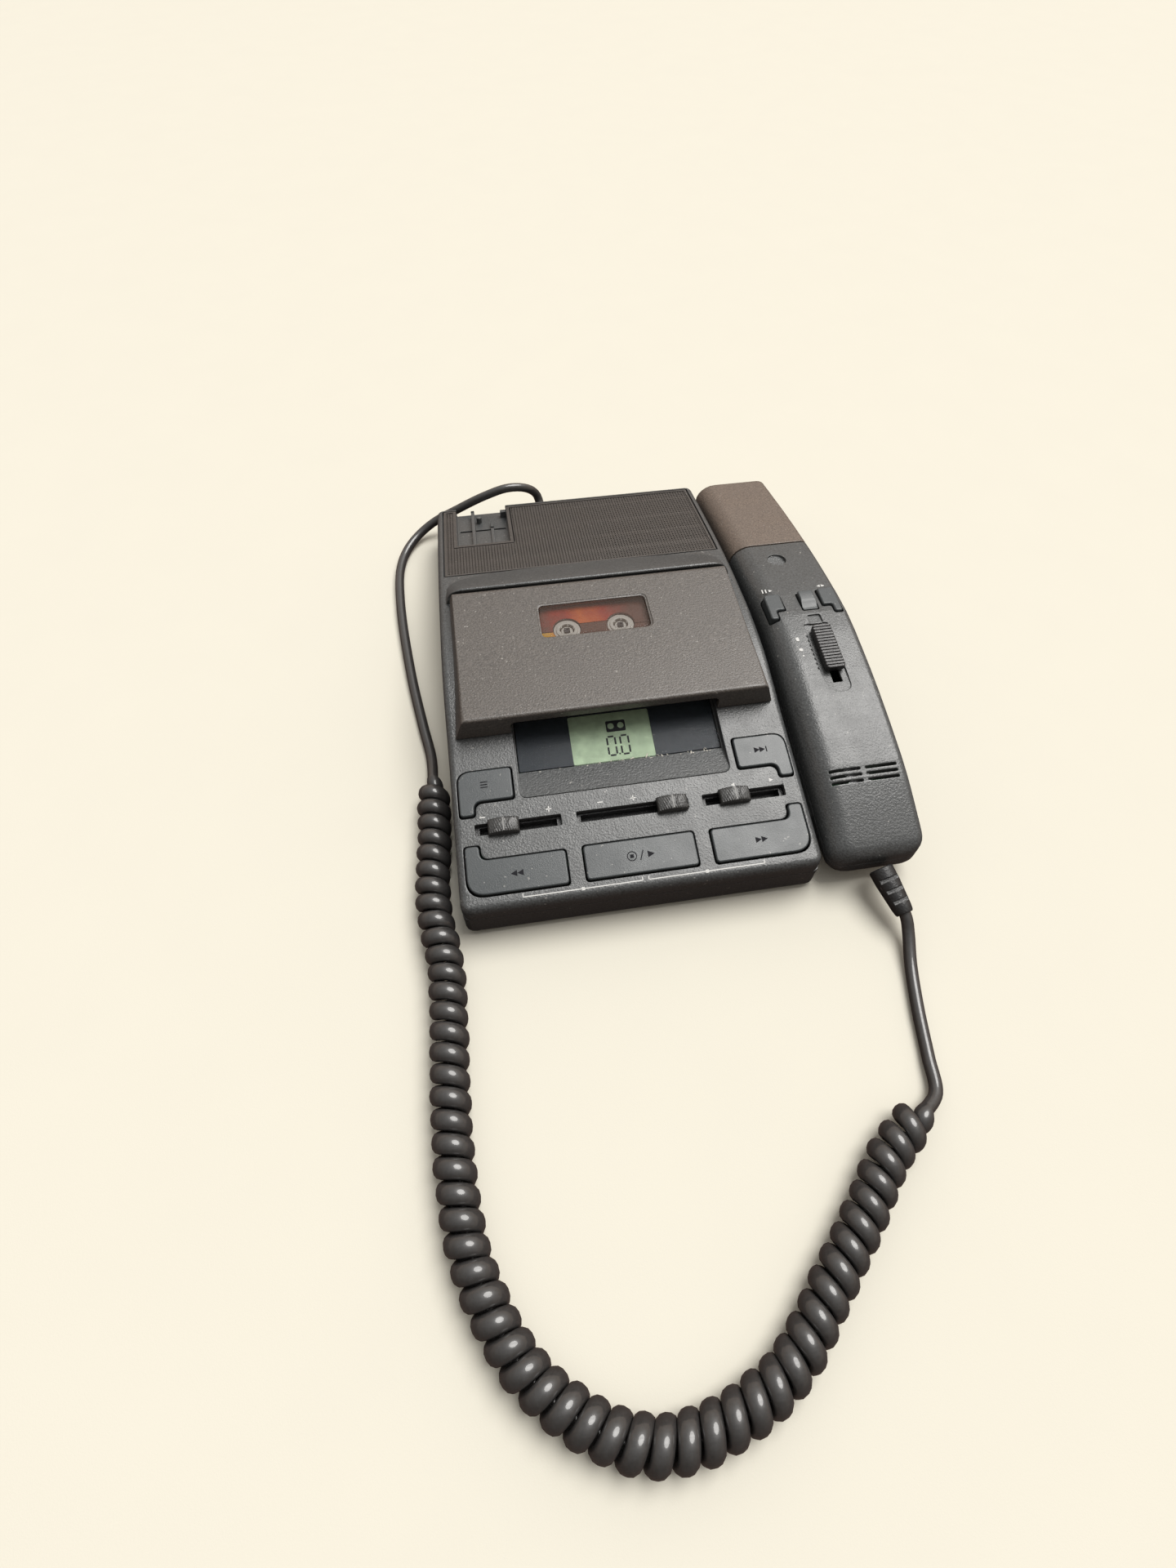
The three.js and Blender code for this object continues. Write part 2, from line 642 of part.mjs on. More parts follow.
function tapeReel(x, packRadius) {
  const { bore, hub } = REEL;
  const [low, high] = REEL.hubZ;
  const [tapeLow, tapeHigh] = REEL.tapeZ;
  const profile = [
    [bore, low], [hub, low], [hub, tapeLow], [packRadius, tapeLow],
    [packRadius, tapeHigh], [hub, tapeHigh], [hub, high], [bore, high], [bore, low],
  ];
  return toGeometry(toSolid(turned(profile, x, HUB_Y)));
}

function spindle(x) {
  const profile = [
    [0, 24.6], [WHEEL_RADIUS, 24.6], [WHEEL_RADIUS, 28.2],
    [3.4, 28.2], [3.4, 28.7], [2.1, 28.7],
    [2.1, 36], [1.4, 37.4], [0, 37.4],
  ];
  return toGeometry(toSolid(turned(profile, x, HUB_Y)));
}

spindles.forEach(({ side, x, packRadius }) => {
  addPart(machine, `tape_reel_${side}`, tapeReel(x, packRadius), 0xe8e4dc, 0.4);
  addPart(machine, `spindle_${side}`, spindle(x), 0x1d1d1f, 0.5);
});

// The drive wheel's rim stands a hair away from both spindle wheels, behind the line of the hubs
const rimReach = WHEEL_RADIUS + DRIVE_RIM_RADIUS + GAP;
const driveY = HUB_Y + Math.sqrt(rimReach ** 2 - (HUB_SPACING / 2) ** 2);

function driveWheel() {
  const flange = DRIVE_PULLEY_RADIUS + FLANGE;
  const profile = [
    [0, 15], [1.5, 15], [1.5, 19],
    [flange, 19], [flange, 19.8], [DRIVE_PULLEY_RADIUS, 20.3],
    [DRIVE_PULLEY_RADIUS, 22.5], [flange, 23], [flange, 23.8],
    [DRIVE_RIM_RADIUS, 24.6], [DRIVE_RIM_RADIUS, 28], [0, 28],
  ];
  return toGeometry(toSolid(turned(profile, CASSETTE_X, driveY)));
}

function motorPulley() {
  const flange = MOTOR_PULLEY_RADIUS + FLANGE;
  const profile = [
    [0, 19.4], [flange, 19.4], [flange, 19.9],
    [MOTOR_PULLEY_RADIUS, 20.3], [MOTOR_PULLEY_RADIUS, 22.5],
    [flange, 22.9], [flange, 23.4], [0, 23.4],
  ];
  return toGeometry(toSolid(turned(profile, MOTOR_PLACE.x, MOTOR_PLACE.y)));
}

// The belt's outline round two pulleys: an arc on each, joined by the two straight runs
function beltOutline(grow) {
  const from = new THREE.Vector2(CASSETTE_X, driveY);
  const to = new THREE.Vector2(MOTOR_PLACE.x, MOTOR_PLACE.y);
  const big = DRIVE_PULLEY_RADIUS + grow;
  const small = MOTOR_PULLEY_RADIUS + grow;
  const heading = Math.atan2(to.y - from.y, to.x - from.x);
  const open = Math.acos((big - small) / from.distanceTo(to));
  const path = new THREE.Path();
  path.absarc(from.x, from.y, big, heading + open, heading - open + 2 * Math.PI, false);
  path.absarc(to.x, to.y, small, heading - open, heading + open, false);
  return path.getPoints(10);
}

function driveBelt() {
  const loop = new THREE.Shape(beltOutline(1.1));
  loop.holes.push(new THREE.Path(beltOutline(0.25)));
  return toGeometry(toSolid(planExtrude(loop, 20.8, 22)));
}

function motor() {
  const can = [
    [0, 7.7], [10, 7.7], [11, 8.7], [11, 17.6], [10.6, 18],
    [3, 18], [3, 18.6], [1, 18.6], [1, 19.1], [0, 19.1],
  ];
  return toGeometry(toSolid(turned(can, MOTOR_PLACE.x, MOTOR_PLACE.y)));
}

addPart(machine, 'drive_wheel', driveWheel(), 0x2b2b2d, 0.6);
addPart(machine, 'motor_pulley', motorPulley(), 0xb08d57, 0.35, 1);
addPart(machine, 'drive_belt', driveBelt(), 0x111111, 0.9);
addPart(machine, 'motor', motor(), STEEL, 0.35, 1);

const DECK_LEGS = [[-41, 80], [35, 80], [-41, 118]];

function deckPlate() {
  const plate = box([-44, 38], [77, 121.4], [DECK_TOP - 1.2, DECK_TOP]);
  const holes = spindles.map(({ x }) => uprightRod(2.8, x, HUB_Y, 20, 40, ROUND_SMALL));
  const foot = UNDERSIDE + WALL + TOUCH;
  const legs = DECK_LEGS.map(([x, y]) => uprightRod(2, x, y, foot, DECK_TOP - 1, ROUND_SMALL));
  return cut(join(plate, ...legs), ...holes);
}

addPart(machine, 'deck_plate', deckPlate(), STEEL, 0.4, 1);

// The heads stand on a bridge that slides towards the cassette when the tape runs
const BRIDGE_TOP = DECK_TOP + 1.5;
const HEAD_TOP = 37.2;

function headBridge() {
  return box([CASSETTE_X - 18, CASSETTE_X + 18], [77.4, 84], [DECK_TOP + GAP, BRIDGE_TOP]);
}

function head(offset, halfWidth) {
  const x = CASSETTE_X + offset;
  const outline = roundedRectangle([x - halfWidth, x + halfWidth], [78.8, 85.2], 1);
  return planExtrude(outline, BRIDGE_TOP + GAP, HEAD_TOP);
}

addPart(machine, 'head_bridge', headBridge(), STEEL, 0.4, 1);
addPart(machine, 'playback_head', head(0, 3.2), 0xc9c9c6, 0.25, 1);
addPart(machine, 'erase_head', head(-HEAD_SPACING, 2.6), 0x303034, 0.4);

// ---------------------------------------------------------------- boards and display

function mainBoard() {
  const board = box([-57, 57], [66, 148], [6, 7.4]);
  return cut(board, ...DECK_LEGS.map(([x, y]) => uprightRod(2.6, x, y, 0, 10, ROUND_SMALL)));
}

function keyBoard() {
  const board = box([-58, 58], [3.6, 36], [-10.6, -9.2]);
  const clearances = [-FRONT_SCREW_X, FRONT_SCREW_X].map((x) => uprightRod(4.2, x, 10.2, -20, 0, ROUND_SMALL));
  return cut(board, ...clearances);
}

addPart(machine, 'main_board', mainBoard(), BOARD_GREEN, 0.6);
addPart(panel, 'key_board', keyBoard(), BOARD_GREEN, 0.6);

function displayWindow() {
  const { x, y } = LCD_OPENING;
  return planExtrude(roundedRectangle([x[0] + GAP, x[1] - GAP], [y[0] + GAP, y[1] - GAP], 2.5), -2.1, -0.7);
}

addPart(panel, 'display_window', displayWindow(), 0x4b4640, 0.15);
addPart(panel, 'display_module', box([-38, 37.2], [39, 71], [-7.6, -3.6]), 0x8fa36a, 0.4);

// ---------------------------------------------------------------- keys and sliders

keys.forEach(([name, outline]) => {
  addPart(panel, name, planExtrude(outline(0), -KEY_SKIRT, KEY_PROUD), KEY_GREY, 0.65);
});

const KNOB = { half: 5.5, depthHalf: 2.75, height: 3.4, stemHalf: 2.5, stemDepthHalf: 1.1 };
const POT = { half: 4, top: -2.9, bottom: -8.6, channelFloor: -7.4 };

function sliderKnob(knobX) {
  const crown = new THREE.Shape();
  crown.moveTo(knobX - KNOB.half, 0.4);
  crown.lineTo(knobX + KNOB.half, 0.4);
  crown.lineTo(knobX + KNOB.half, KNOB.height - 1);
  crown.quadraticCurveTo(knobX, KNOB.height + 1, knobX - KNOB.half, KNOB.height - 1);
  crown.closePath();
  const cap = frontExtrude(crown, SLIDER_Y - KNOB.depthHalf, SLIDER_Y + KNOB.depthHalf);
  const stem = box(
    [knobX - KNOB.stemHalf, knobX + KNOB.stemHalf],
    [SLIDER_Y - KNOB.stemDepthHalf, SLIDER_Y + KNOB.stemDepthHalf],
    [-7, 1],
  );
  return join(cap, stem);
}

function sliderPot([slotFrom, slotTo]) {
  const body = box([slotFrom, slotTo], [SLIDER_Y - POT.half, SLIDER_Y + POT.half], [POT.bottom, POT.top]);
  const channel = box(
    [slotFrom + 1.5, slotTo - 1.5],
    [SLIDER_Y - KNOB.stemDepthHalf - GAP, SLIDER_Y + KNOB.stemDepthHalf + GAP],
    [POT.channelFloor, 0],
  );
  return cut(body, channel);
}

sliders.forEach(({ name, slot, knobX }) => {
  addPart(panel, `${name}_slider`, sliderKnob(knobX), BLACK, 0.6);
  addPart(panel, `${name}_pot`, sliderPot(slot), STEEL, 0.4, 1);
});

// ---------------------------------------------------------------- sockets, feet and screws

function socket(x) {
  const collar = deepRod(SOCKET_RADIUS, x, UNIT_DEPTH - 10, UNIT_DEPTH - 0.4, SOCKET_HEIGHT, ROUND_SMALL);
  return cut(collar, deepRod(1.8, x, UNIT_DEPTH - 8, UNIT_DEPTH, SOCKET_HEIGHT, ROUND_SMALL));
}

sockets.forEach(({ name, x }) => addPart(machine, name, socket(x), BLACK, 0.4));

const feet = [
  { corner: 'front_left', x: -52, y: 18 },
  { corner: 'front_right', x: 52, y: 18 },
  { corner: 'rear_left', x: -52, y: 194 },
  { corner: 'rear_right', x: WING_FOOT.x, y: WING_FOOT.y },
];
feet.forEach(({ corner, x, y }) => {
  const top = UNDERSIDE - TOUCH;
  const profile = [[0, 0], [4.6, 0], [5, 0.5], [5, top], [0, top]];
  const shape = toGeometry(toSolid(turned(profile, x, y, ROUND_SMALL)));
  addPart(machine, `foot_${corner}`, shape, BLACK, 0.95);
});

screws.forEach(({ x, y, tip }, i) => {
  const [rim, shank] = [SCREW_HEAD_RADIUS, SCREW_SHANK_RADIUS];
  const profile = [[0, 3.8], [rim, 3.8], [rim, 5], [shank, 6.1], [shank, tip - 1], [0, tip]];
  const shape = toGeometry(toSolid(turned(profile, x, y, ROUND_SMALL)));
  addPart(machine, `case_screw_${i + 1}`, shape, STEEL, 0.35, 1);
});

// ---------------------------------------------------------------- cradle cover

function columnUnder(line, from, to, low, inset, [x0, x1]) {
  const body = sideExtrude(underCrest(line, from, to, low, inset), x0 + inset, x1 - inset);
  const plan = roundedRectangle([x0 + inset, x1 - inset], [from - 5, to - inset], CORNER_RADIUS);
  return common(body, planExtrude(plan, 0, ABOVE));
}

function cradleCover() {
  const sides = [HANDSET_LEFT, HANDSET_RIGHT];
  const crest = stretch(handsetCrest, CRADLE_FRONT, UNIT_DEPTH - EDGE_RADIUS);
  const shape = new THREE.Shape();
  shape.moveTo(CRADLE_FRONT, WING_FLOOR + TOUCH);
  crest.forEach(([y, z]) => shape.lineTo(y, z));
  shape.quadraticCurveTo(UNIT_DEPTH, 20.2, UNIT_DEPTH, 17.5);
  shape.lineTo(UNIT_DEPTH, WING_FLOOR + TOUCH);
  shape.closePath();
  const plan = roundedOutline([
    [sides[0], CRADLE_FRONT, 0.5],
    [sides[1], CRADLE_FRONT, 0.5],
    [sides[1], UNIT_DEPTH, CORNER_RADIUS],
    [sides[0], UNIT_DEPTH, CORNER_RADIUS],
  ]);
  const block = common(sideExtrude(shape, ...sides), planExtrude(plan, 0, ABOVE));
  const hollow = between(
    [[CRADLE_FRONT + WALL, 0], [UNIT_DEPTH - WALL, 0]],
    stretch(handsetCrest, CRADLE_FRONT + WALL, UNIT_DEPTH - WALL, -WALL - 1),
  );
  return cut(block, sideExtrude(hollow, sides[0] + WALL, sides[1] - WALL));
}

addPart(machine, 'cradle_cover', cradleCover(), CHARCOAL, 0.7);

// ---------------------------------------------------------------- handset

const SWITCH_TILT = THREE.MathUtils.degToRad(5);
const SWITCH_PLACE = { x: 86.2, y: 79.5 };
const handsetKeys = [
  { name: 'record_button', x: [83.2, 89.4], y: [100, 109.6], top: 41 },
  { name: 'handset_key_left', x: [68.9, 75.8], y: [96.4, 110], top: 40.4 },
  { name: 'handset_key_right', x: [91.8, 98.8], y: [97.2, 110.8], top: 41 },
];
const HANDSET_KEY_FOOT = 33.5;
const MIC_SLOT_WIDTH = 0.9;
const MIC_ROWS = [24.9, 27.1, 29.3];
const MIC_COLUMNS = [[72, 83.8], [85.6, 97.4]];

const switchMount = new THREE.Group();
switchMount.position.set(SWITCH_PLACE.x, SWITCH_PLACE.y, heightOn(handsetCrest, SWITCH_PLACE.y));
switchMount.rotation.x = SWITCH_TILT;
switchMount.updateMatrix();
machine.add(switchMount);

const HANDSET_ENDS = [-1, HANDSET_REAR + 1];

function handsetEnvelope(inset, low, high) {
  const body = columnUnder(handsetCrest, 0, HANDSET_REAR, 0, inset, [HANDSET_LEFT, HANDSET_RIGHT]);
  const band = between(low, high);
  return common(body, sideExtrude(band, HANDSET_LEFT - 1, HANDSET_RIGHT + 1));
}

function handsetTop() {
  const ends = HANDSET_ENDS;
  const low = handsetSplit.map((point) => [point.x, point.y]);
  const lowFull = [[ends[0], low[0][1]], ...low, [ends[1], low[low.length - 1][1]]];
  const high = ends.map((y) => [y, ABOVE]);
  const deep = ends.map((y) => [y, 0]);
  const shell = cut(handsetEnvelope(0, lowFull, high), handsetEnvelope(HANDSET_WALL, deep, high));
  const keyHoles = handsetKeys.map(({ x, y }) => (
    box([x[0] - KEY_GAP, x[1] + KEY_GAP], [y[0] - KEY_GAP, y[1] + KEY_GAP], [30, ABOVE])
  ));
  const switchSlot = box([-1.8, 1.8], [-15, 9], [-6, 6]).applyMatrix4(switchMount.matrix);
  const half = MIC_SLOT_WIDTH / 2;
  const micSlots = MIC_ROWS.flatMap((y) => MIC_COLUMNS.map((x) => box(x, [y - half, y + half], [22, ABOVE])));
  const lamp = uprightRod(4, 83, 134.4, 32, ABOVE, ROUND_SMALL);
  return cut(shell, ...keyHoles, switchSlot, ...micSlots, lamp);
}

function handsetBottom() {
  const ends = HANDSET_ENDS;
  const belly = handsetBelly.map((point) => [point.x, point.y]);
  const split = handsetSplit.map((point) => [point.x, point.y - TOUCH]);
  const low = [[ends[0], belly[0][1]], ...belly, [ends[1], belly[belly.length - 1][1]]];
  const high = [[ends[0], split[0][1]], ...split, [ends[1], split[split.length - 1][1]]];
  const floor = low.map(([y, z]) => [y, z + HANDSET_WALL]);
  const above = ends.map((y) => [y, ABOVE]);
  return cut(handsetEnvelope(0, low, high), handsetEnvelope(HANDSET_WALL, floor, above));
}

addPart(machine, 'handset_top_shell', handsetTop(), CHARCOAL, 0.68);
addPart(machine, 'handset_bottom_shell', handsetBottom(), CHARCOAL, 0.68);

handsetKeys.forEach(({ name, x, y, top }) => {
  addPart(machine, name, planExtrude(roundedRectangle(x, y, 1), HANDSET_KEY_FOOT, top), KEY_GREY, 0.6);
});

function slideSwitch() {
  const pad = planExtrude(roundedRectangle([-3.8, 3.8], [-10.5, 10.5], 2), 0.5, 3);
  return join(pad, box([-1.4, 1.4], [-6, 6], [-5, 1]));
}

addPart(switchMount, 'handset_slide_switch', slideSwitch(), BLACK, 0.6);
addPart(machine, 'handset_board', box([71, 97], [22, 126], [18.8, 20.2]), BOARD_GREEN, 0.6);
addPart(machine, 'mic_capsule', uprightRod(4.5, HANDSET_MIDDLE, 27.5, 20.8, 26, ROUND_SMALL), STEEL, 0.35, 1);

// ---------------------------------------------------------------- cords

const bootMount = new THREE.Group();
bootMount.position.set(84.4, -0.5, 13);
bootMount.rotation.set(THREE.MathUtils.degToRad(14), 0, THREE.MathUtils.degToRad(14));
machine.add(bootMount);

const BOOT = { length: 17, setBack: 1.8, wide: 4.4, narrow: 3.2, notches: [5, 9, 13], notchHalf: 0.6 };

function strainRelief() {
  const { length, setBack, wide, narrow, notches, notchHalf } = BOOT;
  const sleeve = new THREE.CylinderGeometry(wide, narrow, length, ROUND_SMALL);
  sleeve.translate(0, -length / 2 - setBack, 0);
  const cuts = notches.map((y) => box([-6, 6], [-y - notchHalf, -y + notchHalf], [2.6, 6]));
  return cut(toGeometry(toSolid(sleeve)), ...cuts);
}

addPart(bootMount, 'strain_relief', strainRelief(), BLACK, 0.6);

function pathThrough(points) {
  const knots = points.map(([x, y, z]) => new THREE.Vector3(x, y, z));
  return new THREE.CatmullRomCurve3(knots, false, 'centripetal');
}

function tube(points, radius, steps) {
  const section = new THREE.Shape();
  section.absarc(0, 0, radius, 0, 2 * Math.PI, false);
  const settings = { steps, extrudePath: pathThrough(points), bevelEnabled: false, curveSegments: 5 };
  return new THREE.ExtrudeGeometry(section, settings);
}

// The coiled stretch lies on the desk in a loop in front of the machine; it is a plain tube here
const coilPath = [
  [72, -78.6], [64.2, -82.3], [54.6, -89.8], [47.8, -97.3], [32, -113], [9, -133],
  [-24, -140], [-52, -124], [-66.5, -98], [-70.3, -76], [-71, -55], [-70.4, -30],
  [-70.6, -12], [-73.4, 5], [-74, 16], [-72.6, 38], [-72.4, 62],
].map(([x, y]) => [x, y, COIL_RADIUS]);
const handsetLead = [
  [89.3, -18.8, 8.3], [88.9, -24, 5.6], [86.6, -34, 2.9], [83.5, -48, 2.3],
  [80.8, -63, 2.3], [78.4, -73.5, 3.6], [71, -79, COIL_RADIUS],
];
const machineLead = [
  [-72.4, 60, COIL_RADIUS], [-73.2, 76, 2.6], [-76, 92, 2.2], [-80.5, 121, 2.2],
  [-84.7, 165, 2.2], [-84.4, 190, 2.3], [-80.6, 203, 2.8], [-74, 211.5, 4.6],
  [-66, 215.5, 8], [-54, 216.5, 13.4], [-40, 216.8, 19.6], [-28, 217.6, 22.6],
  [-18.6, 219.6, 20], [-13.4, 221.6, 14], [-12, 219, 9.4], [-12, 214, SOCKET_HEIGHT],
];

function handsetCord() {
  return join(
    tube(coilPath, COIL_RADIUS, 40),
    tube(handsetLead, LEAD_RADIUS, 10),
    tube(machineLead, LEAD_RADIUS, 30),
  );
}

addPart(machine, 'handset_cord', handsetCord(), BLACK, 0.45);

function cordPlug() {
  const { x } = sockets[0];
  const pin = deepRod(1.5, x, UNIT_DEPTH - 6, UNIT_DEPTH + 1, SOCKET_HEIGHT, ROUND_SMALL);
  return join(pin, deepRod(3.6, x, UNIT_DEPTH, UNIT_DEPTH + 3.5, SOCKET_HEIGHT, ROUND_SMALL));
}

addPart(machine, 'cord_plug', cordPlug(), BLACK, 0.5);

export default machine;
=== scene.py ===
"""A desktop dictation machine for small cassettes: surfaces, finishes, light and camera round the CAD frame.

Shapes are built in millimetres in the desk frame: X is zero on the centre line of the main unit, Y is counted
backwards from its front edge and Z is zero on the desk. Each finished piece is then moved to the part frame.
"""

import math
from contextlib import contextmanager

import bmesh
import bpy
import numpy as np
from mathutils import Matrix, Vector
from mathutils.bvhtree import BVHTree


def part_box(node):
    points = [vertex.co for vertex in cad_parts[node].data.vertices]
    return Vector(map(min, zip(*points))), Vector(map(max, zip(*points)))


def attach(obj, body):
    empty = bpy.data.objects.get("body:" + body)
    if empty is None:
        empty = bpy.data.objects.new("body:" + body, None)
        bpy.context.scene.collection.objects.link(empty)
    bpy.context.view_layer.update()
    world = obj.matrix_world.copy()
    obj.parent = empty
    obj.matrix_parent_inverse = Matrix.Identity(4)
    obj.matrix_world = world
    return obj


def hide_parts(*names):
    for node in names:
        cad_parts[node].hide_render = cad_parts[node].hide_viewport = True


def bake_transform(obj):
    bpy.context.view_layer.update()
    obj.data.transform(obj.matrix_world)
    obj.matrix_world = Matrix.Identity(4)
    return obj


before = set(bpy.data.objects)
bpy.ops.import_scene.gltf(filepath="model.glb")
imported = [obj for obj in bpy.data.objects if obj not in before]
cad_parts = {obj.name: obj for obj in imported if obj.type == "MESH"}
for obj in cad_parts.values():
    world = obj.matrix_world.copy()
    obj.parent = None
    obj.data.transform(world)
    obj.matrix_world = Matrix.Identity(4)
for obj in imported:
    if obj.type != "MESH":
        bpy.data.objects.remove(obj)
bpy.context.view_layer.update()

# ---------------------------------------------------------------- the desk frame, from the CAD frame

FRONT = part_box("top_cover")[0].y
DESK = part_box("foot_front_left")[0].z
TO_PART = Matrix.Translation((0, FRONT, DESK)) @ Matrix.Scale(0.001, 4)
FROM_PART = TO_PART.inverted()


def span(node):
    """The ranges of a CAD node on X, Y and Z, in the desk frame."""
    low, high = (FROM_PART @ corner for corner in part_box(node))
    return (low.x, high.x), (low.y, high.y), (low.z, high.z)


def middle(pair):
    return (pair[0] + pair[1]) / 2


def grown(pair, distance):
    """A range made longer at both ends, or shorter by a negative distance."""
    return pair[0] - distance, pair[1] + distance


def around(centre, half):
    return centre - half, centre + half


def upright(x, y):
    """The place of something that stands on the desk at (x, y)."""
    return Matrix.Translation((x, y, 0))


BELOW_ALL, OVER_ALL = -20, 90


def surface_line(node, x, y_from, y_to, from_below=False):
    """The height of a node's top or underside along one line of constant X, as a function of Y."""
    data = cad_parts[node].data
    tree = BVHTree.FromPolygons(
        [FROM_PART @ v.co for v in data.vertices], [tuple(p.vertices) for p in data.polygons]
    )
    start, heading = (BELOW_ALL, 1) if from_below else (OVER_ALL, -1)
    depths = np.arange(y_from, y_to, 1.0)
    hits = [tree.ray_cast(Vector((x, y, start)), Vector((0, 0, heading)))[0] for y in depths]
    heights = np.array([hit.z for hit in hits])

    def height(y):
        if y < depths[0]:
            return heights[0] + (heights[2] - heights[0]) / 2 * (y - depths[0])
        if y > depths[-1]:
            return heights[-1] + (heights[-1] - heights[-3]) / 2 * (y - depths[-1])
        return float(np.interp(y, depths, heights))

    return height


COVER_X, COVER_Y, COVER_Z = span("top_cover")
HALF_WIDTH = COVER_X[1]
DEPTH = COVER_Y[1]
SPLIT = COVER_Z[0]
HANDSET_X, HANDSET_Y = span("handset_top_shell")[:2]
CRADLE_X, CRADLE_Y, CRADLE_Z = span("cradle_cover")
WALL = 2.3

NEAR_EDGE = 0.7
handset_edge = HANDSET_X[1] - NEAR_EDGE
unit_top = surface_line("top_cover", HALF_WIDTH - 1, 5, DEPTH - 4)
handset_top = surface_line("handset_top_shell", handset_edge, 5, HANDSET_Y[1] - 4)
handset_split = surface_line("handset_top_shell", handset_edge, 2, HANDSET_Y[1] - 2, from_below=True)
handset_belly = surface_line("handset_bottom_shell", middle(HANDSET_X), 4, HANDSET_Y[1] - 5, from_below=True)
cradle_top = surface_line("cradle_cover", CRADLE_X[1] - NEAR_EDGE, CRADLE_Y[0] + 1, DEPTH - 6)

PANEL_FROM, PANEL_TO = 10, 50
PANEL_SLOPE = (unit_top(PANEL_TO) - unit_top(PANEL_FROM)) / (PANEL_TO - PANEL_FROM)
PANEL_EDGE = unit_top(PANEL_FROM) - PANEL_FROM * PANEL_SLOPE
PANEL = Matrix.Translation((0, 0, PANEL_EDGE)) @ Matrix.Rotation(math.atan(PANEL_SLOPE), 4, "X")

# ---------------------------------------------------------------- outlines


def rounded(corners, steps=7):
    """A closed outline whose corners (u, v, radius) are rounded."""
    points = []
    for i, (u, v, radius) in enumerate(corners):
        corner = Vector((u, v))
        before = Vector(corners[i - 1][:2]) - corner
        after = Vector(corners[(i + 1) % len(corners)][:2]) - corner
        entry = corner + before.normalized() * radius
        leave = corner + after.normalized() * radius
        for k in range(steps + 1):
            t = k / steps
            points.append(entry * (1 - t) ** 2 + corner * (2 * t * (1 - t)) + leave * t * t)
    return [(p.x, p.y) for p in points]


def rectangle(x_range, y_range, radius, steps=7):
    (x0, x1), (y0, y1) = x_range, y_range
    return rounded([(x0, y0, radius), (x1, y0, radius), (x1, y1, radius), (x0, y1, radius)], steps)


def circle(x, y, radius, steps=32):
    angles = [2 * math.pi * k / steps for k in range(steps)]
    return [(x + radius * math.cos(a), y + radius * math.sin(a)) for a in angles]


def inset(outline, distance):
    """The outline moved inwards, corner by corner, along the mean of its two edge normals."""
    points = np.array(outline)
    ahead = np.roll(points, -1, axis=0) - points
    behind = points - np.roll(points, 1, axis=0)
    area = np.sum(points[:, 0] * np.roll(points[:, 1], -1) - np.roll(points[:, 0], -1) * points[:, 1])
    turn = np.sign(area)

    def normals(edges):
        length = np.maximum(np.linalg.norm(edges, axis=1, keepdims=True), 1e-9)
        return np.stack([-edges[:, 1], edges[:, 0]], axis=1) / length * turn

    first, second = normals(ahead), normals(behind)
    mean = first + second
    mean /= np.maximum(np.linalg.norm(mean, axis=1, keepdims=True), 1e-9)
    stretch = 1 / np.clip(np.sum(mean * first, axis=1, keepdims=True), 0.6, 1)
    return [tuple(p) for p in points + mean * stretch * distance]


# ---------------------------------------------------------------- solids, in millimetres

SAME_POINT = 1e-4
TIDY_DISTANCE = 0.01
TIDY_ANGLE = 0.002

scratch = []


def place_object(name, data):
    made = bpy.data.objects.new(name, data)
    bpy.context.scene.collection.objects.link(made)
    return made


@contextmanager
def editing(mesh):
    """The mesh opened for editing, and written back at the end."""
    shape = bmesh.new()
    shape.from_mesh(mesh)
    yield shape
    shape.to_mesh(mesh)
    shape.free()


def apply_modifiers(o):
    bpy.context.view_layer.update()
    depsgraph = bpy.context.evaluated_depsgraph_get()
    mesh = bpy.data.meshes.new_from_object(o.evaluated_get(depsgraph))
    o.modifiers.clear()
    o.data = mesh


def scratch_object(points, faces):
    """A mesh object that is thrown away at the end of its section unless it becomes a piece."""
    mesh = bpy.data.meshes.new("solid")
    mesh.from_pydata([tuple(p) for p in points], [], faces)
    made = place_object("solid", mesh)
    scratch.append(made)
    return made


def solid(points, faces):
    """A mesh object from points and faces, with its faces turned outwards."""
    made = scratch_object(points, faces)
    with editing(made.data) as shape:
        bmesh.ops.remove_doubles(shape, verts=shape.verts, dist=SAME_POINT)
        bmesh.ops.recalc_face_normals(shape, faces=shape.faces)
    return made


def loft(rings, matrix=None):
    """A solid through rings of equal length, closed at both ends."""
    count = len(rings[0])
    points = [Vector(p) for ring in rings for p in ring]
    if matrix is not None:
        points = [matrix @ p for p in points]
    faces = [tuple(reversed(range(count))), tuple(range((len(rings) - 1) * count, len(rings) * count))]
    for k in range(len(rings) - 1):
        for i in range(count):
            j = (i + 1) % count
            faces.append((k * count + i, k * count + j, (k + 1) * count + j, (k + 1) * count + i))
    return solid(points, faces)


def prism(outline, z_from, z_to, matrix=None):
    """An outline in X and Y, swept along Z."""
    return loft([[(x, y, z) for x, y in outline] for z in (z_from, z_to)], matrix)


def side_prism(outline, x_from, x_to):
    """An outline in Y and Z, swept along X."""
    return loft([[(x, y, z) for y, z in outline] for x in (x_from, x_to)])


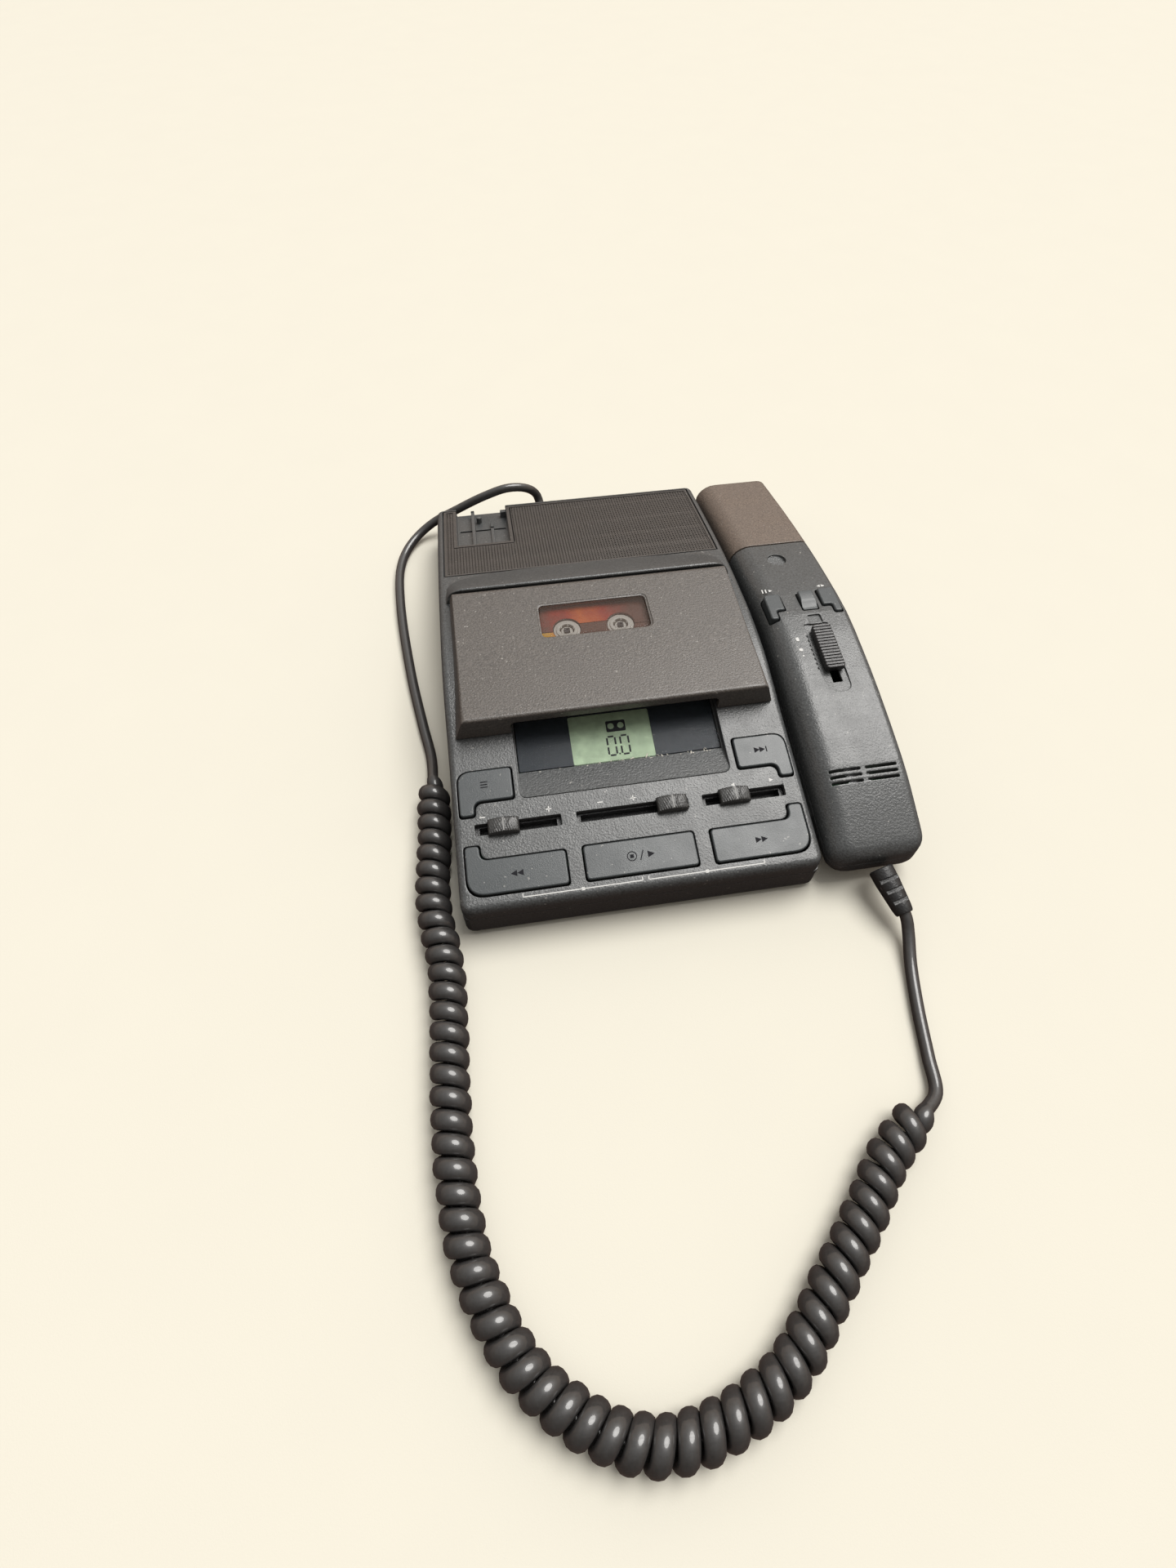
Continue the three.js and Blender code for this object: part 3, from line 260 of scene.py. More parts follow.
def pillow(outline, z_from, z_to, radius, matrix=None, steps=5, bottom=0.0):
    """A prism whose top edge is rounded, and whose bottom edge may be."""
    rings = []
    if bottom:
        for k in range(steps + 1):
            a = math.pi / 2 * k / steps
            drop = bottom * (1 - math.sin(a))
            rings.append([(x, y, z_from + bottom * (1 - math.cos(a))) for x, y in inset(outline, drop)])
    else:
        rings.append([(x, y, z_from) for x, y in outline])
    for k in range(steps + 1):
        a = math.pi / 2 * k / steps
        draw = radius * (1 - math.cos(a))
        rings.append([(x, y, z_to - radius * (1 - math.sin(a))) for x, y in inset(outline, draw)])
    return loft(rings, matrix)


def lathe(profile, matrix=None, segments=40):
    """A solid turned about Z from (radius, height) points; the ends are closed with flat discs."""
    turns = np.linspace(0, 2 * math.pi, segments, endpoint=False)
    return loft([[(r * math.cos(a), r * math.sin(a), z) for a in turns] for r, z in profile], matrix)


def front_prism(outline, y_from, y_to):
    """An outline in X and Z, swept along Y."""
    return loft([[(x, y, z) for x, z in outline] for y in (y_from, y_to)])


def block(x_range, y_range, z_range, matrix=None):
    (x0, x1), (y0, y1) = x_range, y_range
    return prism([(x0, y0), (x1, y0), (x1, y1), (x0, y1)], *z_range, matrix)


def combine(base, tools, operation):
    """The base joined with, cut by or kept common with each tool in turn."""
    for tool in tools:
        step = base.modifiers.new("step", "BOOLEAN")
        step.operation = operation
        step.solver = "EXACT"
        step.object = tool
    apply_modifiers(base)
    return base


def join(base, *tools):
    return combine(base, tools, "UNION")


def cut(base, *tools):
    return combine(base, tools, "DIFFERENCE")


def common(base, *tools):
    return combine(base, tools, "INTERSECT")


def merge(*objects):
    """Several meshes as one object, without joining their volumes."""
    shape = bmesh.new()
    for o in objects:
        shape.from_mesh(o.data)
    mesh = bpy.data.meshes.new("merged")
    shape.to_mesh(mesh)
    shape.free()
    objects[0].data = mesh
    return objects[0]


def tidy_mesh(o):
    """Merges stray points and flat neighbours, and splits faces of more than four corners, so that the edges
    can be rounded cleanly."""
    with editing(o.data) as shape:
        bmesh.ops.remove_doubles(shape, verts=shape.verts, dist=TIDY_DISTANCE)
        bmesh.ops.dissolve_degenerate(shape, edges=shape.edges, dist=TIDY_DISTANCE)
        bmesh.ops.dissolve_limit(shape, angle_limit=TIDY_ANGLE, verts=shape.verts, edges=shape.edges)
        wide = [f for f in shape.faces if len(f.verts) > 4]
        bmesh.ops.triangulate(shape, faces=wide, quad_method="BEAUTY", ngon_method="BEAUTY")


def round_edges(o, width, angle, careful):
    """Rounds the edges sharper than an angle. A careful one stays within the faces beside the edge."""
    bevel = o.modifiers.new("edge", "BEVEL")
    bevel.width = width
    bevel.segments = 2
    bevel.limit_method = "ANGLE"
    bevel.angle_limit = math.radians(angle)
    bevel.use_clamp_overlap = careful
    bevel.loop_slide = careful


def piece(o, name, body, material, replaces=(), edge=0.0, angle=35):
    """A finished piece: its edges rounded, shaded, moved to the part frame and tied to its body. A body of
    two names with two points leaves the piece tied to no body, with its place baked into its mesh."""
    scratch.remove(o)
    o.name = name
    o.data.name = name
    if edge:
        tidy_mesh(o)
        round_edges(o, edge, angle, careful=False)
        apply_modifiers(o)
    o.data.transform(TO_PART)
    o.data.update()
    smooth(o, angle)
    o.data.materials.clear()
    o.data.materials.append(material)
    if isinstance(body, str):
        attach(o, body)
    else:
        first, second, start, end = body
        TO_PART @ Vector(start)
        TO_PART @ Vector(end)
        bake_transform(o)
    if replaces:
        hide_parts(*replaces)


def smooth(o, angle):
    """Smooth shading that keeps sharp edges and weighs large faces more."""
    for polygon in o.data.polygons:
        polygon.use_smooth = True
    o.data.set_sharp_from_angle(angle=math.radians(angle))
    weighted = o.modifiers.new("normals", "WEIGHTED_NORMAL")
    weighted.keep_sharp = True


def clear_scratch():
    for o in list(scratch):
        bpy.data.objects.remove(o)
    scratch.clear()


# ---------------------------------------------------------------- materials


class Nodes:
    """A short way to write the node tree of a material or of the world."""

    def __init__(self, owner):
        owner.use_nodes = True
        self.owner = owner
        self.tree = owner.node_tree
        self.coordinates = self.add("TexCoord", {})
        self.place = self.coordinates.outputs["Object"]

    def feed(self, value, socket):
        """Sets an input to a number, a vector or a colour, or links another node's output to it."""
        if isinstance(value, bpy.types.NodeSocket):
            self.tree.links.new(value, socket)
        elif isinstance(value, tuple) and len(socket.default_value) == 4:
            socket.default_value = (*value, 1.0)[:4]
        else:
            socket.default_value = value

    def add(self, kind, inputs, **settings):
        node = self.tree.nodes.new("ShaderNode" + kind)
        for key, value in settings.items():
            setattr(node, key, value)
        for key, value in inputs.items():
            self.feed(value, node.inputs[key])
        return node

    def noise(self, scale, detail=3.0, stretch=None):
        place = self.place
        if stretch:
            place = self.add("Mapping", {"Vector": place, "Scale": stretch}).outputs["Vector"]
        inputs = {"Vector": place, "Scale": scale, "Detail": detail, "Roughness": 0.55}
        return self.add("TexNoise", inputs).outputs["Fac"]

    def band(self, source, low, high, out_low=0.0, out_high=1.0):
        """The source's range from low to high, stretched to a new range and held at its ends."""
        inputs = {"Value": source, "From Min": low, "From Max": high, "To Min": out_low, "To Max": out_high}
        return self.add("MapRange", inputs).outputs["Result"]

    def ramp(self, source, stops):
        """A colour that runs through the stops as the source goes from zero to one."""
        node = self.add("ValToRGB", {"Fac": source})
        elements = node.color_ramp.elements
        while len(elements) < len(stops):
            elements.new(0.5)
        for element, (place, color) in zip(elements, stops):
            element.position = place
            element.color = (*color, 1.0)
        return node.outputs["Color"]

    def mix(self, factor, first, second):
        return self.add("Mix", {0: factor, 6: first, 7: second}, data_type="RGBA").outputs[2]

    def math(self, operation, first, second):
        return self.add("Math", {0: first, 1: second}, operation=operation).outputs[0]

    def dot(self, first, second):
        return self.add("VectorMath", {0: first, 1: second}, operation="DOT_PRODUCT").outputs["Value"]

    def edge_wear_and_highlight_mask(self, radius):
        """One along convex and concave edges, falling to zero on flats; it marks where edges are made
        lighter, partly by wear and partly by a painted highlight.
        """
        bevel = self.add("Bevel", {"Radius": radius}, samples=4)
        geometry = self.add("NewGeometry", {})
        return self.band(self.dot(bevel.outputs["Normal"], geometry.outputs["Normal"]), 0.98, 0.72)

    def bump(self, height, distance):
        node = self.add("Bump", {"Distance": distance, "Strength": 1.0, "Height": height})
        self.set(Normal=node.outputs["Normal"])

    def set(self, **values):
        """Sets the inputs of the material's surface shader."""
        shader = self.tree.nodes["Principled BSDF"]
        for key, value in values.items():
            self.feed(value, shader.inputs[key.replace("_", " ")])


def material_nodes(name):
    return Nodes(bpy.data.materials.new(name))


def shade(color, factor):
    return tuple(min(1.0, c * factor) for c in color)


DUST_COLOR = (0.62, 0.6, 0.56)
EDGE_WEAR_AND_HIGHLIGHT_RADIUS = 0.0007


def moulded(name, color, rough=0.5, sheen=0.8, grain=0.0007, depth=0.00014, contrast=0.45, edge_wear_and_highlight=0.25,
            dust=0.35):
    """Moulded plastic with a fine eroded grain, faint blotches, edges made lighter by wear and by a painted
    highlight, and a few specks of dust.
    """
    n = material_nodes(name)
    fine = n.noise(1 / grain, 2.0)
    blotch = n.noise(90.0, 3.0)
    cloud = n.noise(14.0, 2.0)
    toned = n.mix(n.band(fine, 0.3, 0.7), shade(color, 1 - contrast), shade(color, 1 + contrast))
    blotched = n.mix(n.band(blotch, 0.35, 0.75, 0.0, 0.3), toned, shade(color, 0.82))
    surface = n.mix(n.band(cloud, 0.3, 0.7, 0.0, 0.22), blotched, shade(color, 1.25))
    # Lighter edges: partly rubbed wear, partly a painted highlight along the rounded edges.
    if edge_wear_and_highlight:
        wear_and_highlight = n.math("MULTIPLY", n.edge_wear_and_highlight_mask(EDGE_WEAR_AND_HIGHLIGHT_RADIUS), n.band(n.noise(400.0), 0.35, 0.6, 0.3, edge_wear_and_highlight * 2))
        surface = n.mix(wear_and_highlight, surface, shade(color, 1.9))
    if dust:
        specks = n.band(n.noise(700.0, 1.0), 0.735, 0.76, 0.0, dust)
        surface = n.mix(specks, surface, DUST_COLOR)
    n.set(Base_Color=surface, Roughness=n.band(blotch, 0.3, 0.7, rough - 0.05, rough + 0.06),
          Specular_IOR_Level=sheen)
    n.bump(fine, depth)
    return n.owner


def glossy(name, color, rough=0.25, grain=0.0012, depth=0.00001, coat=0.0, sheen=0.7):
    """Smooth plastic or lacquer with faint unevenness and hairline scratches."""
    n = material_nodes(name)
    fine = n.noise(1 / grain, 2.0)
    scratches = n.noise(260.0, 2.0, stretch=(1.0, 9.0, 1.0))
    surface = n.mix(n.band(fine, 0.3, 0.7), shade(color, 0.85), shade(color, 1.15))
    n.set(Base_Color=surface, Roughness=n.band(scratches, 0.4, 0.7, rough, rough + 0.14), Coat_Weight=coat,
          Specular_IOR_Level=sheen)
    n.bump(fine, depth)
    return n.owner


def metal(name, color, rough=0.3, direction=(1.0, 30.0, 1.0)):
    """Plated or turned metal with brush marks and a little tarnish."""
    n = material_nodes(name)
    brushed = n.noise(300.0, 2.0, stretch=direction)
    tarnish = n.noise(160.0, 4.0)
    surface = n.mix(n.band(tarnish, 0.45, 0.75), color, shade(color, 0.62))
    n.set(Base_Color=surface, Metallic=1.0, Roughness=n.band(brushed, 0.3, 0.7, rough - 0.08, rough + 0.12))
    n.bump(brushed, 0.00002)
    return n.owner


def clear(name, tint, alpha, coat=0.6, sheen=0.5):
    """Thin clear acrylic with hairline scratches."""
    n = material_nodes(name)
    scratches = n.noise(240.0, 3.0, stretch=(1.0, 12.0, 1.0))
    n.set(Base_Color=tint, Roughness=n.band(scratches, 0.45, 0.75, 0.04, 0.04 + 0.2), Alpha=alpha,
          Coat_Weight=coat, Coat_Roughness=0.03, Specular_IOR_Level=sheen)
    n.bump(scratches, 0.000004)
    return n.owner


def board(name, color):
    """Solder mask over copper tracks that run square to each other."""
    n = material_nodes(name)
    tracks = n.noise(220.0, 1.0, stretch=(1.0, 7.0, 1.0))
    cross = n.noise(220.0, 1.0, stretch=(7.0, 1.0, 1.0))
    mask = n.math("MAXIMUM", n.band(tracks, 0.5, 0.54), n.band(cross, 0.54, 0.58))
    n.set(Base_Color=n.mix(mask, color, shade(color, 1.9)), Roughness=n.band(mask, 0.0, 1.0, 0.3, 0.38))
    n.bump(mask, 0.00003)
    return n.owner


CASE = moulded("case_plastic", (0.078, 0.082, 0.083), rough=0.34)
LID = moulded("lid_plastic", (0.11, 0.098, 0.088), rough=0.4)
REAR = moulded("rear_plastic", (0.165, 0.128, 0.103), rough=0.42)
GRILLE = moulded("grille_plastic", (0.06, 0.052, 0.046), dust=0.2)
KEY = moulded("key_plastic", (0.062, 0.071, 0.075), rough=0.31, sheen=0.62, grain=0.0004, depth=0.00004,
              contrast=0.16, edge_wear_and_highlight=0.35)
BLACK = moulded("black_plastic", (0.022, 0.022, 0.023), rough=0.38, contrast=0.3, edge_wear_and_highlight=0.2, dust=0.2)
KNOB = moulded("knob_plastic", (0.05, 0.05, 0.049), rough=0.36, contrast=0.2, edge_wear_and_highlight=0.35)
RUBBER = moulded("rubber", (0.022, 0.022, 0.022), rough=0.75, edge_wear_and_highlight=0.0)
# Near black backing cloth, also painted shade that keeps the grille's holes dark.
SHADE_CLOTH = moulded("grille_shade_cloth", (0.012, 0.011, 0.011), rough=0.9, grain=0.0009, edge_wear_and_highlight=0.0, dust=0.0)
CORD = glossy("cord_jacket", (0.042, 0.04, 0.039), rough=0.33, coat=1.0)
STEEL = metal("plated_steel", (0.6, 0.61, 0.62))
BRASS = metal("turned_brass", (0.72, 0.53, 0.28), direction=(1.0, 1.0, 30.0))
BOARD = board("circuit_board", (0.05, 0.16, 0.07))
WINDOW = clear("lid_window_acrylic", (0.16, 0.12, 0.1), alpha=0.2)
GLASS = clear("display_glass", (0.2, 0.22, 0.22), alpha=0.05, coat=0.04, sheen=0.15)
PAINT = glossy("white_print", (0.72, 0.72, 0.7), rough=0.5, grain=0.0003)
WORN_PAINT = glossy("worn_print", (0.3, 0.3, 0.29), rough=0.5, grain=0.0003)
# Dark print for the display's figures; on the keys it paints the marks dark as a painted reflection of dark
# surroundings in their silver print.
DARK_PRINT_AND_REFLECTION = glossy("dark_print_and_reflection", (0.02, 0.02, 0.024), rough=0.6, grain=0.0003, sheen=0.1)

# ---------------------------------------------------------------- arched bodies


EDGE_STEPS = 6
STATION_SPACING = 2.0


def end_rounding(distance, radius):
    """How far a rounded end has drawn in at a distance from its tip."""
    if distance >= radius:
        return 0.0
    return radius - math.sqrt(max(0.0, radius**2 - (radius - distance) ** 2))


END_STEPS = 7


def stations(y_from, y_to, front_radius, rear_radius, spacing, flats):
    """Depths along a body: close together in its rounded ends, and left out of its flat stretches."""
    arc = [1 - math.cos(math.pi / 2 * k / END_STEPS) for k in range(END_STEPS + 1)]
    start, stop = y_from + front_radius, y_to - rear_radius
    count = max(1, round((stop - start) / spacing))
    inner = np.linspace(start, stop, count + 1)[1:-1]
    kept = [y for y in inner if not any(a < y < b for a, b in flats)]
    return [y_from + front_radius * d for d in arc] + kept + [y_to - rear_radius * d for d in reversed(arc)]


def arched_body(x_range, y_range, low, top, edges, ends, corners=(4.0, 4.0), flats=(), shrink=0.0,
                matrix=None, bluff=1.0):
    """A body under a crest line. edges: the radii of its left and right top edges. ends: the radii of its
    front and rear top edges. corners: the radii of its front and rear corners in plan. flats: stretches with
    no curve to follow. bluff: how much deeper than long the front edge's rounding is."""
    (x0, x1), (y0, y1) = grown(x_range, -shrink), grown(y_range, -shrink)
    left, right = (max(0.4, r - shrink) for r in edges)
    front_corner, rear_corner = (max(0.4, r - shrink) for r in corners)
    front, rear = (max(0.3, r - shrink) for r in ends)
    rise = [math.pi / 2 * k / EDGE_STEPS for k in range(EDGE_STEPS + 1)]
    rings = []
    for y in stations(y0, y1, front_corner, rear_corner, STATION_SPACING, flats):
        draw = end_rounding(y - y0, front_corner) + end_rounding(y1 - y, rear_corner)
        height = top(y) - shrink - bluff * end_rounding(y - y0, front) - end_rounding(y1 - y, rear)
        w0, w1 = x0 + draw, x1 - draw
        left_drop, right_drop = (min(r, 0.85 * (height - low(y))) for r in (left, right))
        ring = [(w0, y, low(y))]
        for a in rise:
            ring.append((w0 + left * (1 - math.cos(a)), y, height - left_drop * (1 - math.sin(a))))
        for a in reversed(rise):
            ring.append((w1 - right * (1 - math.cos(a)), y, height - right_drop * (1 - math.sin(a))))
        ring.append((w1, y, low(y)))
        rings.append(ring)
    return loft(rings, matrix)


def level(z):
    return lambda y: z


# ---------------------------------------------------------------- key outlines, from the key nodes

KEY_GAP = 0.5
KEY_RADIUS = 1.5
LEG_WIDTH = 5.0
LEG_FILLET = 3.0
KEY_PROUD = 1.0
KEY_FOOT = -4.6


def panel_span(node):
    """The ranges of a node on the panel, in X and in depth along the panel, at its top face."""
    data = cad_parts[node].data
    to_panel = PANEL.inverted() @ FROM_PART
    points = np.array([to_panel @ v.co for v in data.vertices])
    return (points[:, 0].min(), points[:, 0].max()), (points[:, 1].min(), points[:, 1].max())


def leg_key(node, edge_low, body, radius):
    """A key's outline with a leg at its outer end. edge_low: whether its straight edge is the front one.
    body: the depth of its main bar."""
    (x0, x1), (y0, y1) = panel_span(node)
    side = 1 if x0 > 0 else -1
    outer, inner = (x1, x0) if side > 0 else (x0, x1)
    edge, tip = (y0, y1) if edge_low else (y1, y0)
    face = edge + (body if edge_low else -body)

    def outline(grow):
        rise = grow if edge_low else -grow
        out, back = outer + side * grow, inner - side * grow
        leg = outer - side * (LEG_WIDTH + grow)
        return rounded([
            (out, edge - rise, radius), (back, edge - rise, KEY_RADIUS), (back, face + rise, KEY_RADIUS),
            (leg, face + rise, LEG_FILLET), (leg, tip + rise, KEY_RADIUS), (out, tip + rise, KEY_RADIUS),
        ])

    return outline


def bar_key(node):
    x_range, y_range = panel_span(node)
    return lambda grow: rectangle(grown(x_range, grow), grown(y_range, grow), KEY_RADIUS)


LOWER_BAR = 12.0
UPPER_BAR = 11.8
keys = {
    "stop_play": bar_key("stop_play_key"),
    "rewind": leg_key("rewind_key", True, LOWER_BAR, 6.5),
    "wind": leg_key("wind_key", True, LOWER_BAR, 6.5),
    "letter": leg_key("letter_key", False, UPPER_BAR, 5.0),
    "search": leg_key("search_key", False, UPPER_BAR, 5.0),
}
SLIDERS = ("speed", "volume", "tone")
SLOT_HALF = 2.0


def slot_range(name):
    return span(f"{name}_pot")[0]


SLIDER_Y = middle(panel_span("speed_pot")[1])


# ---------------------------------------------------------------- upper case

LID_X, LID_Y, LID_Z = span("cassette_lid")
GRILLE_X, GRILLE_Y = span("speaker_grille")[:2]
HINGE = [middle(r) for r in span("lid_hinge_pin")[1:]]
PIN_BORE = 1.1
SWING_RADIUS = 4.2
EYES = (-49.0, 49.0)
CASE_EYE_RADIUS, CASE_EYE_HALF = 1.9, 2
LID_EYE_RADIUS, LID_EYE_HALF = 2.3, 2.5
SCREWS = [span(f"case_screw_{i}") for i in (1, 2, 3, 4)]
SCREW_POST = 3
FAR = 60  # tools that go right through reach this far
SPEAKER_HOLE = ((-20, 50), (154, 202), (10, FAR))
CASSETTE_BAY = ((-46, 46), (75, 122.5), (20, FAR))

BAY_X = (-54.2, -30.2)
BAY_FRONT = 173.6
BAY_FLOOR = (22.9, 13.6)
BAY_RIBS = (-46.4, -37.6)
BAY_SLOT = (192.4, 193.6)
BAY_WALL = 1.2
BAY_TOP = 45

GLASS_X = (-39.2, 38.4)
RAMP_FRONT = 37.9
RAMP_REAR = 48.7
RAMP_DEPTH = 3.2
GLASS_REAR = 70.0


def crest_band(x_range, y_range, drop, rise):
    """A slab that follows the unit's crest line, from drop below it to rise above it."""
    x0, x1 = x_range
    rings = []
    for y in np.linspace(*y_range, max(2, round((y_range[1] - y_range[0]) / STATION_SPACING) + 1)):
        low, high = unit_top(y) - drop, unit_top(y) + rise
        rings.append([(x0, y, low), (x1, y, low), (x1, y, high), (x0, y, high)])
    return loft(rings)


def turned_across(radius, x_range, segments):
    """A round bar along the lid's hinge line."""
    turn = Matrix.Translation((0, *HINGE)) @ Matrix.Rotation(math.pi / 2, 4, "Y")
    return lathe([(radius, x) for x in x_range], turn, segments)


FAIRING_SHARES = [k / 12 for k in range(9)] + [0.72, 0.78, 0.84, 0.88, 0.91, 0.94, 0.965, 0.985, 1.0]
FAIRING_END = 0.84
FAIRING_LEAST = 3


def fairing():
    """The raised bar behind the lid. It falls away to the rear, and to its two ends."""
    front = LID_Y[1] + 0.5
    foot = unit_top(front) - 1.5
    half = LID_X[1] - 0.3
    rings = []
    for share in FAIRING_SHARES:
        past_end = max(0.0, (share - FAIRING_END) / (1 - FAIRING_END))
        rise = math.sqrt(max(0.0, 1 - past_end**2.6)) * 0.98 + 0.02
        rear = GRILLE_Y[0] + 1.4 - 5.5 * share**3
        rear = front + FAIRING_LEAST + (rear - front - FAIRING_LEAST) * rise**0.5
        crown = foot + (COVER_Z[1] - foot) * rise
        heel = unit_top(rear) - 0.4
        ring = [(front, foot), (front, crown - 0.9 * rise), (front + 0.25, crown - 0.3 * rise)]
        for t in np.linspace(0, 1, 9):
            ring.append((front + 1.1 + (rear - front - 1.1) * t, crown - (crown - heel) * t**1.12))
        ring.append((rear, heel - 1.5))
        rings.append([(share * half, y, z) for y, z in ring])
    left = [[(-x, y, z) for x, y, z in ring] for ring in reversed(rings[1:])]
    return loft(left + rings)


def bay_box(drop, wall):
    """The room of the cable bay above its sloping floor, made larger by a wall in front and at its sides."""
    rear = DEPTH + 3
    slope = (BAY_FLOOR[1] - BAY_FLOOR[0]) / (rear - BAY_FRONT)
    low = (BAY_FRONT - wall, BAY_FLOOR[0] - drop - slope * wall)
    high = (rear, BAY_FLOOR[1] - drop)
    return side_prism([low, high, (high[0], BAY_TOP), (low[0], BAY_TOP)], *grown(BAY_X, wall))


def bay_pocket():
    """The open cable bay, less its two ribs and its two posts."""
    pocket = bay_box(0, 0)
    tall = crest_band(around(BAY_RIBS[0], 0.8), (BAY_FRONT - 1, DEPTH - 3), 14, -1.2)
    short = crest_band(around(BAY_RIBS[1], 0.8), (BAY_FRONT - 1, DEPTH - 12), 14, -3.4)
    post = lathe([(1.3, 8), (1.3, 21.5), (1.0, 22)], upright(BAY_RIBS[0] + 2.9, DEPTH - 9), 16)
    end_post = block((BAY_X[1] - 2.8, BAY_X[1] + 0.1), (DEPTH - 6, DEPTH - 3.4), (8, 21.5))
    return cut(pocket, tall, short, post, end_post)


def ramp_cut():
    """The sunk display: a ramp down from the panel, then a level floor that runs on under the lid."""
    plan = rounded([
        (GLASS_X[0], RAMP_FRONT, 3.0), (GLASS_X[1], RAMP_FRONT, 3.0),
        (GLASS_X[1], GLASS_REAR, 1.0), (GLASS_X[0], GLASS_REAR, 1.0),
    ])
    deep = prism(plan, -RAMP_DEPTH - 0.1, 9, PANEL)
    front, rear, top = RAMP_FRONT - 1, GLASS_REAR + 9, 12
    side = [(front, 0.28), (RAMP_REAR, -RAMP_DEPTH), (rear, -RAMP_DEPTH), (rear, top), (front, top)]
    wedge = loft([[(x, y, z) for y, z in side] for x in (-FAR, FAR)], PANEL)
    return common(deep, wedge)


def case_body(low, shrink=0.0):
    return arched_body((-HALF_WIDTH, HALF_WIDTH), (0, DEPTH), level(low), unit_top, edges=(2.4, 2.4),
                       ends=(1.9, 3.0), flats=((9, 60),), bluff=1.6, shrink=shrink)


def case_additions():
    """What stands on the shell: the fairing, the cable bay's walls, the display's tray, the screw posts and
    the lid's hinge posts."""
    walls = common(bay_box(1.6, BAY_WALL), case_body(SPLIT, 0.05))
    tray = block(grown(GLASS_X, 1.4), (RAMP_FRONT - 1, GLASS_REAR + 1.5), (-5.6, -1.0), PANEL)
    posts = [lathe([(SCREW_POST, SPLIT), (SCREW_POST, unit_top(middle(y)) - 1.2)],
                   upright(middle(x), middle(y)), 20) for x, y, _ in SCREWS]
    hinge_posts = [block(around(x, CASE_EYE_HALF), (HINGE[0] - 2.2, HINGE[0] + 0.3), (33, HINGE[1]))
                   for x in EYES]
    return fairing(), walls, tray, *posts, *hinge_posts


def case_openings():
    """What is taken out of the shell."""
    well = block(grown(GLASS_X, -0.6), (RAMP_REAR + 0.2, GLASS_REAR - 0.1), (-9, -1), PANEL)
    pit = join(ramp_cut(), well)
    key_holes = [prism(outline(KEY_GAP), -9, 4, PANEL) for outline in keys.values()]
    slots = [prism(rectangle(slot_range(name), around(SLIDER_Y, SLOT_HALF), 0.5, 3), -6, 4, PANEL)
             for name in SLIDERS]
    seat = crest_band(grown(GRILLE_X, 0.6), grown(GRILLE_Y, 0.4), 1.7, 3)
    speaker_hole = common(block(*SPEAKER_HOLE), case_body(8, 1))
    grooves = [crest_band(around(BAY_X[1] + x, 0.35), (BAY_FRONT + 1, GRILLE_Y[1] + 0.3), 2.1, 1)
               for x in (2.4, 4.2)]
    slit = block(grown(BAY_X, -1), BAY_SLOT, (10, 20.5))
    room = block(*CASSETTE_BAY)
    swing = turned_across(SWING_RADIUS, LID_X, 48)
    return pit, *key_holes, *slots, seat, speaker_hole, *grooves, bay_pocket(), slit, room, swing


def case_top():
    shell = cut(case_body(SPLIT), case_body(SPLIT - 2, WALL))
    shell = cut(join(shell, *case_additions()), *case_openings())
    eyes = [turned_across(CASE_EYE_RADIUS, around(x, CASE_EYE_HALF), 24) for x in EYES]
    return cut(join(shell, *eyes), turned_across(PIN_BORE, (-FAR, FAR), 20))


piece(case_top(), "case_top_shell", "machine", CASE, ["top_cover"], edge=0.3)
clear_scratch()

# ---------------------------------------------------------------- cassette lid

LID_TAPER = 4.1
LID_SKIN = 2.0
NOTCH_X = (-39.6, 38.8)
NOTCH_TOP = 38.8
HOLLOW_REAR = 121.8
HINGE_ROOM = 120
WIDER_THAN_LID = (-70, 70)
WINDOW_X, WINDOW_Y = span("lid_window")[:2]


def lid_solid(shrink):
    """The lid's outer form: what its side view, its front view and its plan have in common."""
    front, rear = LID_Y[0] + shrink, LID_Y[1]
    front_top, rear_top = LID_Z[1] - shrink, LID_Z[1] - 1.4 - shrink
    foot, top = LID_X[1] - shrink, LID_X[1] - LID_TAPER - shrink
    side = [(front + 1.6, 22, 0.2), (rear, 22, 0.2), (rear, rear_top, 2.8), (front, front_top, 1.6)]
    section = [(-foot, 30, 0.3), (foot, 30, 0.3), (top, front_top, 1.8), (-top, front_top, 1.8)]
    plan = rectangle((-foot, foot), (front, rear + 2), 1.6)
    return common(side_prism(rounded(side, 10), -64, 64), front_prism(rounded(section, 10), 50, 140),
                  prism(plan, 10, FAR))


def window_prism(grow, radius, z_from, z_to):
    return prism(rectangle(grown(WINDOW_X, grow), grown(WINDOW_Y, grow), radius), z_from, z_to)


